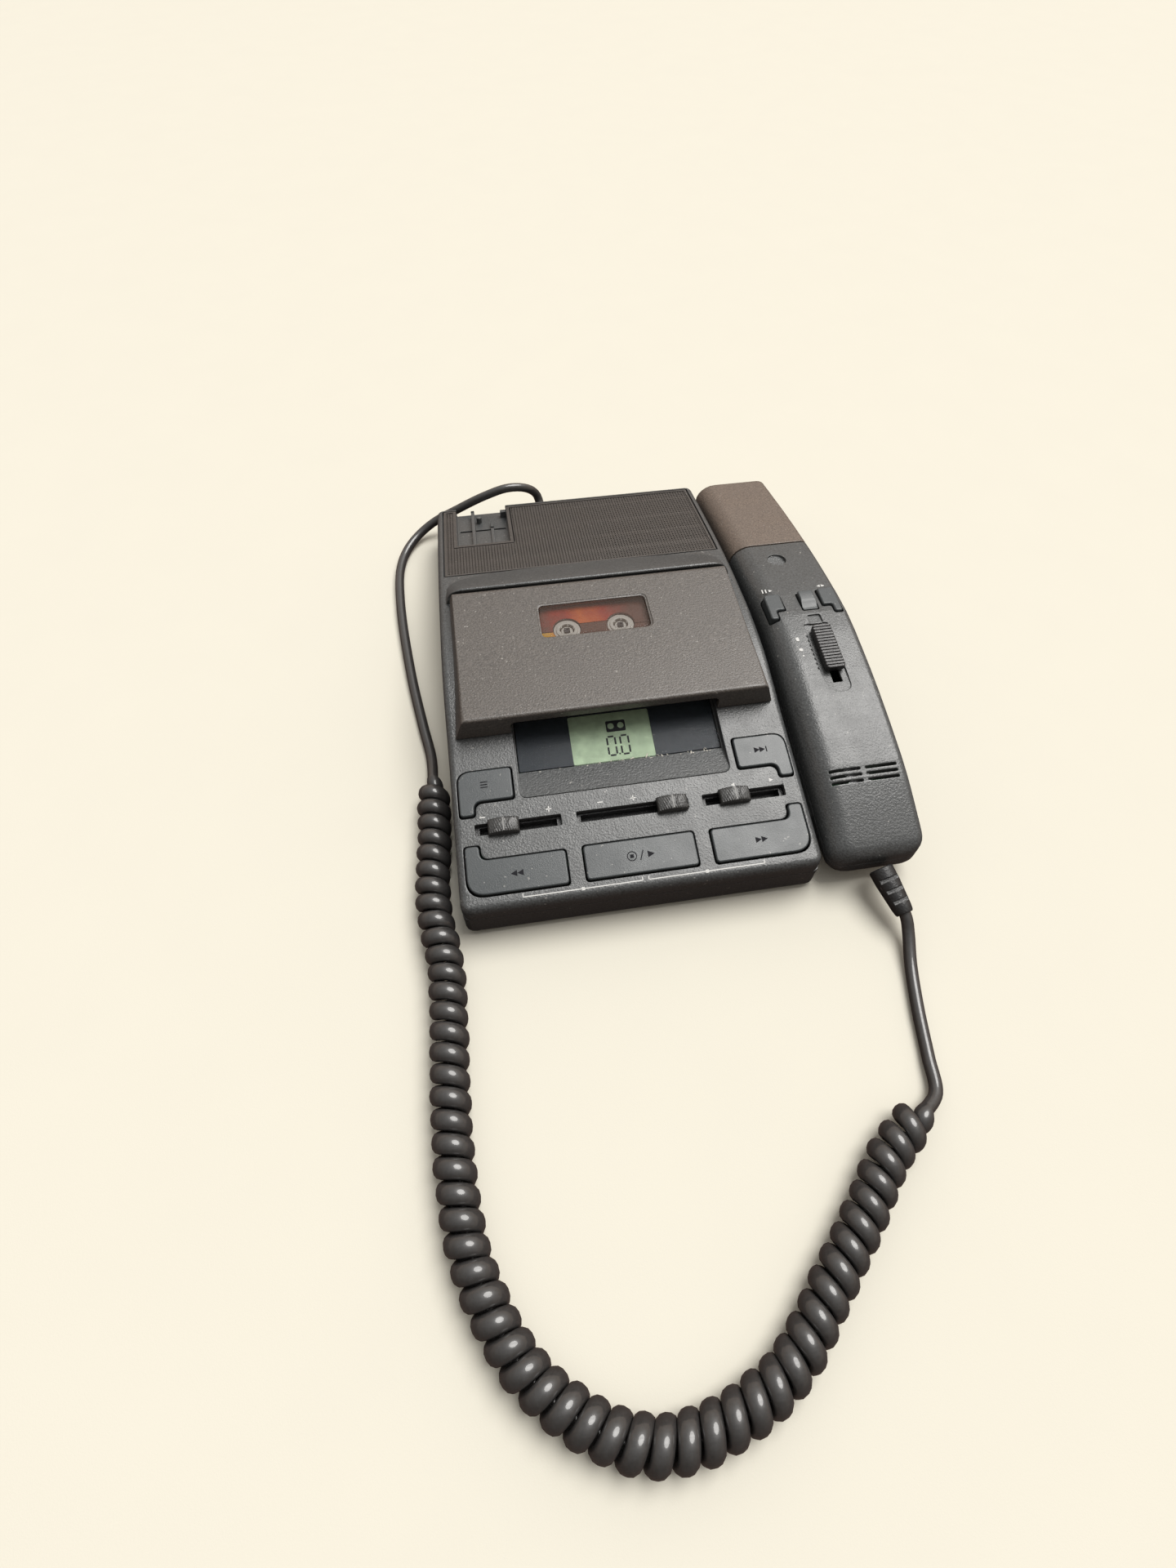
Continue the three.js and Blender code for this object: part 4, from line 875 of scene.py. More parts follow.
def lid():
    """A hollow lid, notched over the display, with room round the case's hinge eyes and a stepped window."""
    (y0, y1), top = LID_Y, LID_Z[1]
    underside = crest_band(WIDER_THAN_LID, (y0 - 8, y1 + 8), 30, 0.45)
    hollow = common(lid_solid(LID_SKIN), block(WIDER_THAN_LID, (y0 + 3, HOLLOW_REAR), (0, FAR)))
    left, right = NOTCH_X
    notch = rounded([(left, 20, 1), (right, 20, 1), (right, NOTCH_TOP, 2.6), (left, NOTCH_TOP, 2.6)])
    bar = block(WIDER_THAN_LID, (HINGE_ROOM, y1 + 2), (20, HINGE[1] - LID_EYE_RADIUS))
    eyes = []
    for x in EYES:
        eyes.append(block(around(x, LID_EYE_HALF), (HINGE_ROOM, y1 + 1), (30, HINGE[1])))
        eyes.append(turned_across(LID_EYE_RADIUS, around(x, LID_EYE_HALF), 24))
    pin = turned_across(PIN_BORE, (-53, 53), 20)
    shell = cut(lid_solid(0), underside, hollow, front_prism(notch, y0 - 1, y0 + 4), bar, *eyes, pin,
                window_prism(0.25, 2.2, 30, FAR))
    return cut(shell, window_prism(1.1, 2.8, top - 1.35, top + 3))


def lid_glass():
    return pillow(rectangle(WINDOW_X, WINDOW_Y, 2.0), LID_Z[1] - 2.5, LID_Z[1] - 1.25, 0.35)


piece(lid(), "lid_cover", "lid", LID, ["cassette_lid"], edge=0.3)
piece(lid_glass(), "lid_pane", "lid", WINDOW, ["lid_window"])
clear_scratch()

# ---------------------------------------------------------------- keys


def flat_prints(shapes, thickness, matrix):
    """Printed marks: several thin plates as one mesh."""
    return merge(*[prism(shape, *thickness, matrix) for shape in shapes])


def triangle(x, y, size, heading):
    """A triangle that points to the right for a heading of one, or to the left for minus one."""
    reach, half = heading * size / 2, size / 2
    return [(x - reach, y - half), (x + reach, y), (x - reach, y + half)]


def bar_shape(x, y, width, height):
    (x0, x1), (y0, y1) = around(x, width / 2), around(y, height / 2)
    return [(x0, y0), (x1, y0), (x1, y1), (x0, y1)]


def slanted(x, y, width, height):
    y0, y1 = around(y, height / 2)
    return [(x - width - 0.5, y0), (x - 0.5, y0), (x + 0.5 + width, y1), (x + 0.5, y1)]


RING_BARS = 28


def ring_shape(x, y, radius, thick):
    """A ring as a row of short bars."""
    shapes = []
    for k in range(RING_BARS):
        turn = [2 * math.pi * (k + shift) / RING_BARS for shift in (0, 1)]
        ends = [(math.cos(a), math.sin(a)) for a in turn]
        outer = [(x + c * radius, y + s * radius) for c, s in ends]
        inner = [(x + c * (radius - thick), y + s * (radius - thick)) for c, s in reversed(ends)]
        shapes.append(outer + inner)
    return shapes


KEY_PRINT = (KEY_PROUD + 0.005, KEY_PROUD + 0.05)


def key_marks():
    """The transport marks, as outlines by key."""
    middle_y, low_y, high_y = 11.3, 11.0, 44.5
    return {
        "stop_play": [triangle(3.6, middle_y, 2.4, 1), slanted(0.3, middle_y, 0.4, 3.4),
                      bar_shape(-3.2, middle_y, 1.3, 1.3), *ring_shape(-3.2, middle_y, 1.75, 0.32)],
        "rewind": [triangle(x, low_y, 2.2, -1) for x in (-42, -44.2)],
        "wind": [triangle(x, low_y, 2.2, 1) for x in (42, 44.2)],
        "letter": [bar_shape(-51.5, high_y + rise, 2.6, 0.4) for rise in (0, -1.0, 1.0)],
        "search": [*(triangle(x, high_y, 2.2, 1) for x in (49.6, 51.6)), bar_shape(53.1, high_y, 0.4, 2.2)],
    }


marks = key_marks()
for name, outline in keys.items():
    cap = pillow(outline(0), KEY_FOOT, KEY_PROUD, 0.55, PANEL)
    piece(cap, f"{name}_cap", name, KEY, [f"{name}_key"])
    # The marks are painted dark: a painted reflection standing in for silver print that mirrors dark
    # surroundings.
    piece(flat_prints(marks[name], KEY_PRINT, PANEL), f"{name}_mark", name, DARK_PRINT_AND_REFLECTION)
clear_scratch()

# ---------------------------------------------------------------- marks on the panel

PANEL_PRINT = (0.01, 0.05)
BRACKET_Y = 2.75
BRACKET_LINE = 0.35
BRACKET_RISE = 1.3
SIGN_SIZE = 2.0
SIGN_LINE = 0.4


def bracket(x_from, x_to):
    """A line with raised ends, that ties two keys together."""
    y, line, rise = BRACKET_Y, BRACKET_LINE, BRACKET_RISE
    centre = middle((x_from, x_to))
    return [bar_shape(centre, y, x_to - x_from, line), bar_shape(x_from, y + rise / 2, line, rise),
            bar_shape(x_to, y + rise / 2, line, rise), bar_shape(centre, y, 1.1, 1.1)]


def minus(x, y):
    return bar_shape(x, y, SIGN_SIZE, SIGN_LINE)


def plus(x, y):
    return minus(x, y), bar_shape(x, y, SIGN_LINE, SIGN_SIZE)


def panel_marks():
    """Minus and plus at two sliders, arrows at the tone slider, and two brackets in front of the keys."""
    y = SLIDER_Y + 4.4
    speed, volume, tone = (slot_range(name) for name in SLIDERS)
    shapes = bracket(-42, -0.8) + bracket(1.4, 42.4)
    shapes += [minus(speed[0] + 3, y), *plus(speed[1] - 4, y)]
    shapes += [minus(volume[0] + 9, y), *plus(volume[0] + 21, y)]
    shapes += [triangle(tone[0] + 12, y, 1.5, -1), triangle(tone[1] - 4, y, 1.5, 1)]
    return flat_prints(shapes, PANEL_PRINT, PANEL)


piece(panel_marks(), "panel_marks", "machine", PAINT)
clear_scratch()

# ---------------------------------------------------------------- sliders

KNOB_HALF = 5.5
KNOB_DEPTH = 2.75
KNOB_CROWN = 3.9
KNOB_FOOT = 0.4
KNOB_SHOULDER = 0.7
KNOB_END = 0.6
KNOB_PLAIN = 0.7
RIB_PITCH = 0.85
RIB_SLANT = 0.35
RIB_RISE = 0.17


def knob(x_middle):
    """A cap whose crown is arched along the slot and cut with slanted ribs, apart from a plain middle."""
    rings = []
    for x in np.linspace(-KNOB_HALF, KNOB_HALF, 61):
        end = max(0.0, (abs(x) - KNOB_HALF + KNOB_END) / KNOB_END)
        crown = KNOB_CROWN - 1.45 * (x / KNOB_HALF) ** 2 - 0.5 * end**2
        ring = [(x, -KNOB_DEPTH, KNOB_FOOT), (x, -KNOB_DEPTH, crown - KNOB_SHOULDER)]
        for y in np.linspace(-KNOB_DEPTH + 0.3, KNOB_DEPTH - 0.3, 7):
            phase = 2 * math.pi * (x + RIB_SLANT * y) / RIB_PITCH
            rib = 0.0 if abs(x) < KNOB_PLAIN else RIB_RISE * math.sin(phase)
            ring.append((x, y, crown - 0.1 * abs(y) + rib))
        ring += [(x, KNOB_DEPTH, crown - KNOB_SHOULDER), (x, KNOB_DEPTH, KNOB_FOOT)]
        rings.append(ring)
    shift = PANEL @ Matrix.Translation((x_middle, SLIDER_Y, 0))
    cap = loft(rings, shift)
    stem = block((-2.5, 2.5), (-1.1, 1.1), (-6.6, 1), shift)
    return join(cap, stem)


for name in SLIDERS:
    knob_x = middle(span(f"{name}_slider")[0])
    piece(knob(knob_x), f"{name}_knob", name, KNOB, [f"{name}_slider"], angle=50)
    line = prism(bar_shape(knob_x, SLIDER_Y, 0.4, 4.6), KNOB_CROWN - 0.04, KNOB_CROWN + 0.03, PANEL)
    piece(line, f"{name}_knob_line", name, WORN_PAINT)
clear_scratch()

# ---------------------------------------------------------------- display

LCD_X = (-18.0, 13.0)
LCD_Y = (49.3, 69.0)
BOARD_TOP = -RAMP_DEPTH - 0.35


def display():
    outline = rectangle(grown(GLASS_X, -0.9), (RAMP_REAR + 0.5, GLASS_REAR - 0.3), 0.6)
    plate = pillow(outline, BOARD_TOP - 2.6, BOARD_TOP, 0.2, PANEL)
    recess = prism(rectangle(LCD_X, LCD_Y, 0.8), BOARD_TOP - 0.3, 1, PANEL)
    return cut(plate, recess)


FIGURE_SIZE = 7.6
FIGURE_Y = 55.3


def zero(x):
    """The six bars of a zero on the display."""
    width, half, thick = FIGURE_SIZE * 0.4, FIGURE_SIZE / 2, FIGURE_SIZE * 0.09
    short = thick * 1.3
    bars = [bar_shape(x, y, width - short, thick) for y in (FIGURE_Y + half, FIGURE_Y - half)]
    for y in (FIGURE_Y + half / 2, FIGURE_Y - half / 2):
        bars += [bar_shape(side, y, thick, half - short) for side in around(x, width / 2)]
    return bars


def display_figures():
    """Two zeros with a point between them, under the outline of a cassette."""
    layer = (BOARD_TOP - 0.18, BOARD_TOP - 0.14)
    icon = prism(rectangle((-3.9, 3.5), (61.0, 65.6), 0.6, 3), *layer, PANEL)
    holes = [prism(circle(x, 63.4, 1.25, 20), -9, 1, PANEL) for x in (-2.1, 1.7)]
    icon = cut(icon, *holes)
    shapes = [*zero(-2.8), *zero(2.2), bar_shape(-0.3, 51.8, 0.6, 0.6)]
    return merge(icon, *[prism(shape, *layer, PANEL) for shape in shapes])


CRUMBS = 26
CRUMB = [(-1, -0.3), (-0.2, -0.6), (1, -0.2), (0.7, 0.5), (-0.6, 0.4)]


def crumbs():
    """Specks that have gathered where the ramp meets the display."""
    draw = np.random.default_rng(5)
    chips = []
    for _ in range(CRUMBS):
        x = draw.uniform(*grown(GLASS_X, -2))
        y = RAMP_REAR + 0.1 + draw.normal(0, 0.4)
        size = draw.uniform(0.15, 0.5)
        turn = draw.uniform(0, math.pi)
        place = PANEL @ Matrix.Translation((x, y, -RAMP_DEPTH)) @ Matrix.Rotation(turn, 4, "Z")
        long = size * draw.uniform(1.0, 2.6)
        outline = [(long * u, size * v) for u, v in CRUMB]
        chips.append(pillow(outline, 0.0, size * 0.5, size * 0.2, place, 2))
    return merge(*chips)


LCD = glossy("display_green", (0.46, 0.6, 0.41), rough=0.5, grain=0.004, depth=0.000002, sheen=0.2)
DUST = moulded("dust_specks", (0.6, 0.57, 0.5), rough=0.8, edge_wear_and_highlight=0.0, dust=0.0)
NAVY = glossy("display_surround", (0.019, 0.025, 0.035), rough=0.35, grain=0.001, sheen=0.2)

piece(display(), "display_plate", "machine", NAVY, ["display_module"], edge=0.08)
face = prism(rectangle(grown(LCD_X, 0.2), grown(LCD_Y, 0.2), 0.5), BOARD_TOP - 0.6, BOARD_TOP - 0.2, PANEL)
piece(face, "display_face", "machine", LCD)
piece(display_figures(), "display_figures", "machine", DARK_PRINT_AND_REFLECTION)
cover_plan = rectangle(grown(GLASS_X, -0.8), (RAMP_REAR + 0.4, GLASS_REAR - 0.2), 0.6)
pane = prism(cover_plan, BOARD_TOP + 0.05, BOARD_TOP + 0.3, PANEL)
piece(pane, "display_pane", "machine", GLASS, ["display_window"])
piece(crumbs(), "display_dust", "machine", DUST, angle=60)
clear_scratch()

# ---------------------------------------------------------------- cassette and reels

CASSETTE_X, CASSETTE_Y, CASSETTE_Z = span("cassette_shell")
HUBS = {side: [middle(r) for r in span(f"tape_reel_{side}")[:2]] for side in ("left", "right")}
PACKS = {side: np.diff(span(f"tape_reel_{side}")[0])[0] / 2 for side in HUBS}

CASSETTE = glossy("cassette_plastic", (0.13, 0.05, 0.03), rough=0.22, coat=0.3)
LABEL_X = (-0.0235, 0.0205)


def label_paper(name, colors):
    """Glossy printed paper whose colour runs along X through the given colours."""
    n = material_nodes(name)
    split = n.add("SeparateXYZ", {0: n.place})
    along = n.band(split.outputs["X"], *LABEL_X)
    along = n.math("ADD", along, n.band(n.noise(120.0), 0.3, 0.7, -0.08, 0.08))
    stops = [(k / (len(colors) - 1), color) for k, color in enumerate(colors)]
    n.set(Base_Color=n.ramp(along, stops), Roughness=n.band(n.noise(500.0), 0.3, 0.7, 0.25, 0.4))
    n.bump(n.noise(900.0), 0.00001)
    return n.owner


YELLOW = (0.75, 0.42, 0.06)
ORANGE = (0.7, 0.16, 0.03)
RED = (0.45, 0.05, 0.025)
BROWN = (0.16, 0.07, 0.05)
LABEL = label_paper("cassette_label", (YELLOW, ORANGE, RED, RED, BROWN, BROWN))
LABEL_BAND = label_paper("cassette_label_band", (BROWN, RED, ORANGE, RED, BROWN, BROWN))
HUB = moulded("hub_plastic", (0.62, 0.6, 0.55), rough=0.35, grain=0.0004, depth=0.00002, contrast=0.06,
              edge_wear_and_highlight=0.0)
TAPE = metal("tape_pack", (0.16, 0.1, 0.075), rough=0.35, direction=(1.0, 1.0, 9.0))
CONE = moulded("speaker_cone", (0.03, 0.028, 0.026), rough=0.8, grain=0.0008, edge_wear_and_highlight=0.0, dust=0.0)
THROUGH = (20, 50)


def bore(x, y, radius, steps=48):
    """A round tool that goes through the cassette from below to above."""
    return prism(circle(x, y, radius, steps), *THROUGH)


def cassette():
    (x0, x1), (y0, y1), (z0, z1) = CASSETTE_X, CASSETTE_Y, CASSETTE_Z
    body = pillow(rectangle(CASSETTE_X, CASSETTE_Y, 1.6), z0, z1, 0.5, bottom=0.4)
    hollow = block((x0 + 1.5, x1 - 1.5), (y0 + 1.5, y1 - 1.5), (z0 + 1.2, z1 - 1.2))
    bores = [bore(x, y, 5.6) for x, y in HUBS.values()]
    head_gaps = [block(around(middle(CASSETTE_X) + x, 4), (y0 - 1, y0 + 3), (z0 - 1, z1 - 1.2))
                 for x in (-12, 0, 12)]
    label_seat = block((x0 + 3, x1 - 3), (y0 + 5, y1 - 4), (z1 - 0.3, z1 + 1))
    return cut(body, hollow, *bores, *head_gaps, label_seat)


def label(y_range):
    """A paper label with holes for the two hubs and for the window between them."""
    sheet = prism(rectangle(grown(CASSETTE_X, -3.4), y_range, 0.8), CASSETTE_Z[1] - 0.28, CASSETTE_Z[1] - 0.1)
    bores = [bore(x, y, 5.8) for x, y in HUBS.values()]
    (left, hub_y), (right, _) = HUBS.values()
    return cut(sheet, *bores, block((left + 5.0, right - 5.0), (hub_y - 4.6, hub_y + 2.4), THROUGH))


def hub_ring(x, y):
    """A hub with a broad top flange, a raised inner lip and six drive teeth."""
    outer = [(4.3, 32.4), (4.3, 37.2), (5.35, 37.25), (5.35, 37.75), (4.4, 37.8), (4.4, 38.05), (4.2, 38.2)]
    ring = cut(lathe(outer, upright(x, y), 48), bore(x, y, 3.0, 32))
    turns = [upright(x, y) @ Matrix.Rotation(k * math.pi / 3 + 0.3, 4, "Z") for k in range(6)]
    return join(ring, *[block((2.65, 3.3), (-0.45, 0.45), (32.8, 37.9), turn) for turn in turns])


def tape_pack(x, y, radius):
    return cut(pillow(circle(x, y, radius, 48), 33.3, 36.9, 0.15), bore(x, y, 4.32, 40))


def spindle_wheel(x, y):
    """A friction wheel under a pale shaft."""
    wheel = [(7.6, 24.6), (8, 25), (8, 27.8), (7.6, 28.2), (3.4, 28.3)]
    shaft = [(3.4, 28.7), (2.4, 28.75), (2.4, 37.1), (2.2, 37.3)]
    return lathe(wheel + shaft, upright(x, y), 40)


def spindle_nose(x, y):
    """The square drive nose, hollow in the middle."""
    square = around(0, 1.15)
    nose = pillow(rectangle(square, square, 0.35, 3), 37.35, 38.1, 0.2, upright(x, y))
    return cut(nose, prism(circle(0.1, 0, 0.5, 16), 37.75, 40, upright(x, y)))


piece(cassette(), "cassette_body", "machine", CASSETTE, ["cassette_shell"], edge=0.12)
hub_line = HUBS["left"][1]
label_front, label_rear = (CASSETTE_Y[0] + 5.2, hub_line - 1.0), (hub_line - 0.6, CASSETTE_Y[1] - 4.2)
piece(label(label_front), "cassette_label_front", "machine", LABEL)
piece(label(label_rear), "cassette_label_rear", "machine", LABEL_BAND)
for side, (x, y) in HUBS.items():
    reel = f"reel_{side}"
    wheel = spindle_wheel(x, y)
    piece(hub_ring(x, y), f"tape_hub_{side}", reel, HUB, [f"tape_reel_{side}"], edge=0.08)
    piece(tape_pack(x, y, PACKS[side]), f"tape_pack_{side}", reel, TAPE, angle=30)
    piece(wheel, f"spindle_wheel_{side}", reel, HUB, [f"spindle_{side}"], angle=30)
    piece(spindle_nose(x, y), f"spindle_nose_{side}", reel, BLACK)
clear_scratch()

# ---------------------------------------------------------------- speaker grille

MESH_PITCH = 1.3
MESH_HOLE = 0.5
MESH_BORDER = 1.1
MESH_THICK = 0.7


def grille_mesh():
    """A sheet that follows the crest, pierced by rows of diamond holes, with a plain border."""
    (x0, x1), (y0, y1) = grown(GRILLE_X, -MESH_BORDER), grown(GRILLE_Y, -MESH_BORDER)
    columns, rows = round((x1 - x0) / MESH_PITCH), round((y1 - y0) / MESH_PITCH)
    step_x, step_y = (x1 - x0) / columns, (y1 - y0) / rows
    points, faces = [], []
    grid = {}

    def point(x, y, layer, key=None):
        if key is not None and key in grid:
            return grid[key]
        points.append((x, y, unit_top(y) - 0.35 - layer * MESH_THICK))
        if key is not None:
            grid[key] = len(points) - 1
        return len(points) - 1

    def in_bay(x, y):
        left, right = grown(BAY_X, 1.6)
        return left < x < right and y > BAY_FRONT - 1.6

    def cell(i, j):
        xm, ym = x0 + (i + 0.5) * step_x, y0 + (j + 0.5) * step_y
        corners = [(i, j), (i + 1, j), (i + 1, j + 1), (i, j + 1)]
        outer = [point(x0 + a * step_x, y0 + b * step_y, 0, (a, b)) for a, b in corners]
        if in_bay(xm, ym):
            return
        ways = [(0, -1), (1, 0), (0, 1), (-1, 0)]
        top = [point(xm + u * MESH_HOLE, ym + v * MESH_HOLE, 0) for u, v in ways]
        low = [point(xm + u * MESH_HOLE * 0.85, ym + v * MESH_HOLE * 0.85, 1) for u, v in ways]
        for k in range(4):
            n = (k + 1) % 4
            faces.append((outer[k], outer[n], top[n]))
            faces.append((outer[k], top[n], top[k]))
            faces.append((top[k], top[n], low[n], low[k]))

    for i in range(columns):
        for j in range(rows):
            cell(i, j)
    made = scratch_object(points, faces)
    with editing(made.data) as shape:
        loose = [v for v in shape.verts if not v.link_faces]
        bmesh.ops.delete(shape, geom=loose, context="VERTS")
        bmesh.ops.recalc_face_normals(shape, faces=shape.faces)
        upward = sum(f.normal.z * f.calc_area() for f in shape.faces if abs(f.normal.z) > 0.5)
        if upward < 0:
            bmesh.ops.reverse_faces(shape, faces=shape.faces)
    return made


def open_bay(gap):
    """The cable bay with a gap round it, as a tool."""
    return block(grown(BAY_X, gap), (BAY_FRONT - gap, DEPTH + 9), (0, FAR))


def grille_frame():
    """The plain border round the pierced sheet, and round the cable bay."""
    whole = crest_band(GRILLE_X, GRILLE_Y, 1.3, 0)
    within = 0.05 - MESH_BORDER
    border = cut(whole, crest_band(grown(GRILLE_X, within), grown(GRILLE_Y, within), 3, 3))
    round_bay = crest_band(grown(BAY_X, 1.7), (BAY_FRONT - 1.7, GRILLE_Y[1] - 0.2), 1.3, 0)
    return cut(join(border, round_bay), open_bay(0.2))


def grille_backing():
    """A near black cloth behind the sheet, also a painted shade that keeps the holes dark, cut away round the
    cable bay.
    """
    return cut(crest_band(grown(GRILLE_X, -0.6), grown(GRILLE_Y, -0.6), 1.62, -1.45), open_bay(0.6))


piece(grille_mesh(), "grille_sheet", "machine", GRILLE, ["speaker_grille"], angle=30)
piece(grille_frame(), "grille_border", "machine", GRILLE, edge=0.2)
piece(grille_backing(), "grille_backing", "machine", SHADE_CLOTH, angle=30)
clear_scratch()

# ---------------------------------------------------------------- cradle cover

LEFT_ROUND = 8.5
RIGHT_ROUND = 3.0


def cradle_body(low, shrink=0.0):
    return arched_body(CRADLE_X, CRADLE_Y, level(low), cradle_top, edges=(LEFT_ROUND, RIGHT_ROUND),
                       corners=(0.4, 4.0), ends=(0.4, 3.0), shrink=shrink)


hood = cut(cradle_body(CRADLE_Z[0]), cradle_body(CRADLE_Z[0] - 3, WALL))
piece(hood, "cradle_hood", "machine", REAR, ["cradle_cover"], edge=0.25)
clear_scratch()

# ---------------------------------------------------------------- handset

RECORD_X, RECORD_Y, RECORD_Z = span("record_button")
LEFT_X, LEFT_Y = span("handset_key_left")[:2]
RIGHT_X, RIGHT_Y = span("handset_key_right")[:2]
SWITCH_PLACE = [middle(r) for r in span("handset_slide_switch")[:2]]
SWITCH = Matrix.Translation((*SWITCH_PLACE, handset_top(SWITCH_PLACE[1])))
SWITCH = SWITCH @ Matrix.Rotation(math.radians(5), 4, "X")
SWITCH_TRACK = rounded([
    (-3.9, -19.5, 3.5), (4.4, -19.5, 3.5), (4.4, 13, 1.0), (-5.6, 13, 1.0), (-5.6, -12, 1.5),
])
MIC_ROWS = (24.9, 27.1, 29.3)
MIC_COLUMNS = ((72.0, 83.8), (85.6, 97.4))
HANDSET_WALL = 2.0
HANDSET_CORNERS = (6.0, 0.6)
ROCKER_GAP = 0.45
ROCKER_ARM = 3.2
ROCKER_FOOT = 33.5
ABOVE_SPLIT = 30
ROUND_RECESS = (83, 134.4)
SMALL_RECESS = ((83.6, 88.9), (92.4, 97.0))


def rocker(x_range, y_range, outer_side, notch):
    """The outline of a rocker key whose narrow arm reaches forward at its outer side, as a function of how
    much it is grown. outer_side: one if that side is on the left, or minus one."""
    outer, inner = x_range[::outer_side]
    y0, y1 = y_range

    def outline(grow):
        out, arm = outer - outer_side * grow, outer + outer_side * (ROCKER_ARM + grow)
        back, front, step, rear = inner + outer_side * grow, y0 - grow, y0 + notch - grow, y1 + grow
        return rounded([
            (out, front, 1.2), (arm, front, 1.2), (arm, step, 1.2), (back, step, 0.9), (back, rear, 1.6),
            (out, rear, 1.8),
        ])

    return outline


rocker_left = rocker(LEFT_X, LEFT_Y, 1, 4.6)
rocker_right = rocker(RIGHT_X, RIGHT_Y, -1, 4.2)


def record_outline(grow):
    return rectangle(grown(RECORD_X, grow), grown(RECORD_Y, grow), 0.8)


def handset_upper():
    def body(low, shrink):
        return arched_body(HANDSET_X, HANDSET_Y, lambda y: handset_split(y) - low, handset_top,
                           edges=(LEFT_ROUND, RIGHT_ROUND), corners=HANDSET_CORNERS, ends=(3.5, 0.6),
                           shrink=shrink)

    outlines = [outline(ROCKER_GAP) for outline in (rocker_left, rocker_right, record_outline)]
    round_x, round_y = ROUND_RECESS
    return cut(
        body(0, 0), body(3, HANDSET_WALL),
        prism(SWITCH_TRACK, -1.0, 6, SWITCH),
        *[prism(bar_shape(-5.7, y, 0.9, 0.8), -1.2, 3, SWITCH) for y in np.arange(-8.5, 8, 2.2)],
        block((-1.8, 1.8), (-15, 9), (-6, 6), SWITCH),
        *[prism(outline, ABOVE_SPLIT, FAR) for outline in outlines],
        prism(circle(round_x, round_y, 4, 40), handset_top(round_y) - 1.5, FAR),
        prism(rectangle(*SMALL_RECESS, 1.0), handset_top(95) - 0.9, FAR),
        *[prism(rectangle(x, around(y, 0.5), 0.45, 3), 22, FAR) for y in MIC_ROWS for x in MIC_COLUMNS],
    )


def handset_lower():
    """The half shell under the split line; it is built upside down and turned over."""
    def body(low, shrink):
        return arched_body(HANDSET_X, HANDSET_Y, lambda y: 0.1 - low - handset_split(y),
                           lambda y: -handset_belly(y), edges=(4.5, 3.0), corners=HANDSET_CORNERS,
                           ends=(2.0, 0.6), shrink=shrink, matrix=Matrix.Scale(-1, 4, (0, 0, 1)))

    return cut(body(0, 0), body(3, HANDSET_WALL))


PAD_X, PAD_Y = (-3.8, 3.8), (-10.5, 10.5)


def switch_pad():
    """The slide switch's pad, cut with cross ribs."""
    pad = pillow(rectangle(PAD_X, PAD_Y, 1.6), 0.15, 2.6, 0.5, SWITCH)
    grooves = []
    for y in np.linspace(*grown(PAD_Y, -1.4), 14):
        side = [(y - 0.42, 3.4), (y, 1.75), (y + 0.42, 3.4)]
        grooves.append(loft([[(x, a, b) for a, b in side] for x in grown(PAD_X, 1)], SWITCH))
    stem = block((-1.4, 1.4), (-6, 6), (-5, 1), SWITCH)
    return join(cut(pad, *grooves), stem)


def record_rocker():
    """A rocker with a flat rear part and a hollowed front face."""
    y, top = RECORD_Y[0], RECORD_Z[1]
    body = pillow(record_outline(0), *RECORD_Z, 0.5)
    side = [(-1, -1.1), (1.6, -1.3), (5.2, 0.1), (5.2, 3), (-1, 3)]
    return cut(body, side_prism([(y + ahead, top + rise) for ahead, rise in side], *grown(RECORD_X, 1)))


BOOT_PLACE = (84.4, -0.5, 13)
BOOT_TURN = math.radians(14)


def boot():
    """A flexible sleeve with three pairs of notches."""
    place = Matrix.Translation(BOOT_PLACE) @ Matrix.Rotation(BOOT_TURN, 4, "X")
    place = place @ Matrix.Rotation(BOOT_TURN, 4, "Z") @ Matrix.Rotation(math.pi / 2, 4, "X")
    sleeve = lathe([(3.9, 1.8), (4.4, 2.3), (4.3, 7), (3.5, 16.6), (3.2, 18.2), (2.9, 18.8)], place, 40)
    notches = []
    for z in (6.4, 10.4, 14.4):
        for s in (-1, 1):
            notches.append(block((-6, 6), (s * 2.3, s * 6), (z - 0.7, z + 0.7), place))
    return cut(sleeve, *notches)


def handset_prints(shapes):
    """Printed marks that lie on the handset's crest."""
    plates = []
    for shape in shapes:
        z = handset_top(sum(p[1] for p in shape) / len(shape)) + 0.02
        plates.append(prism(shape, z, z + 0.04))
    return merge(*plates)


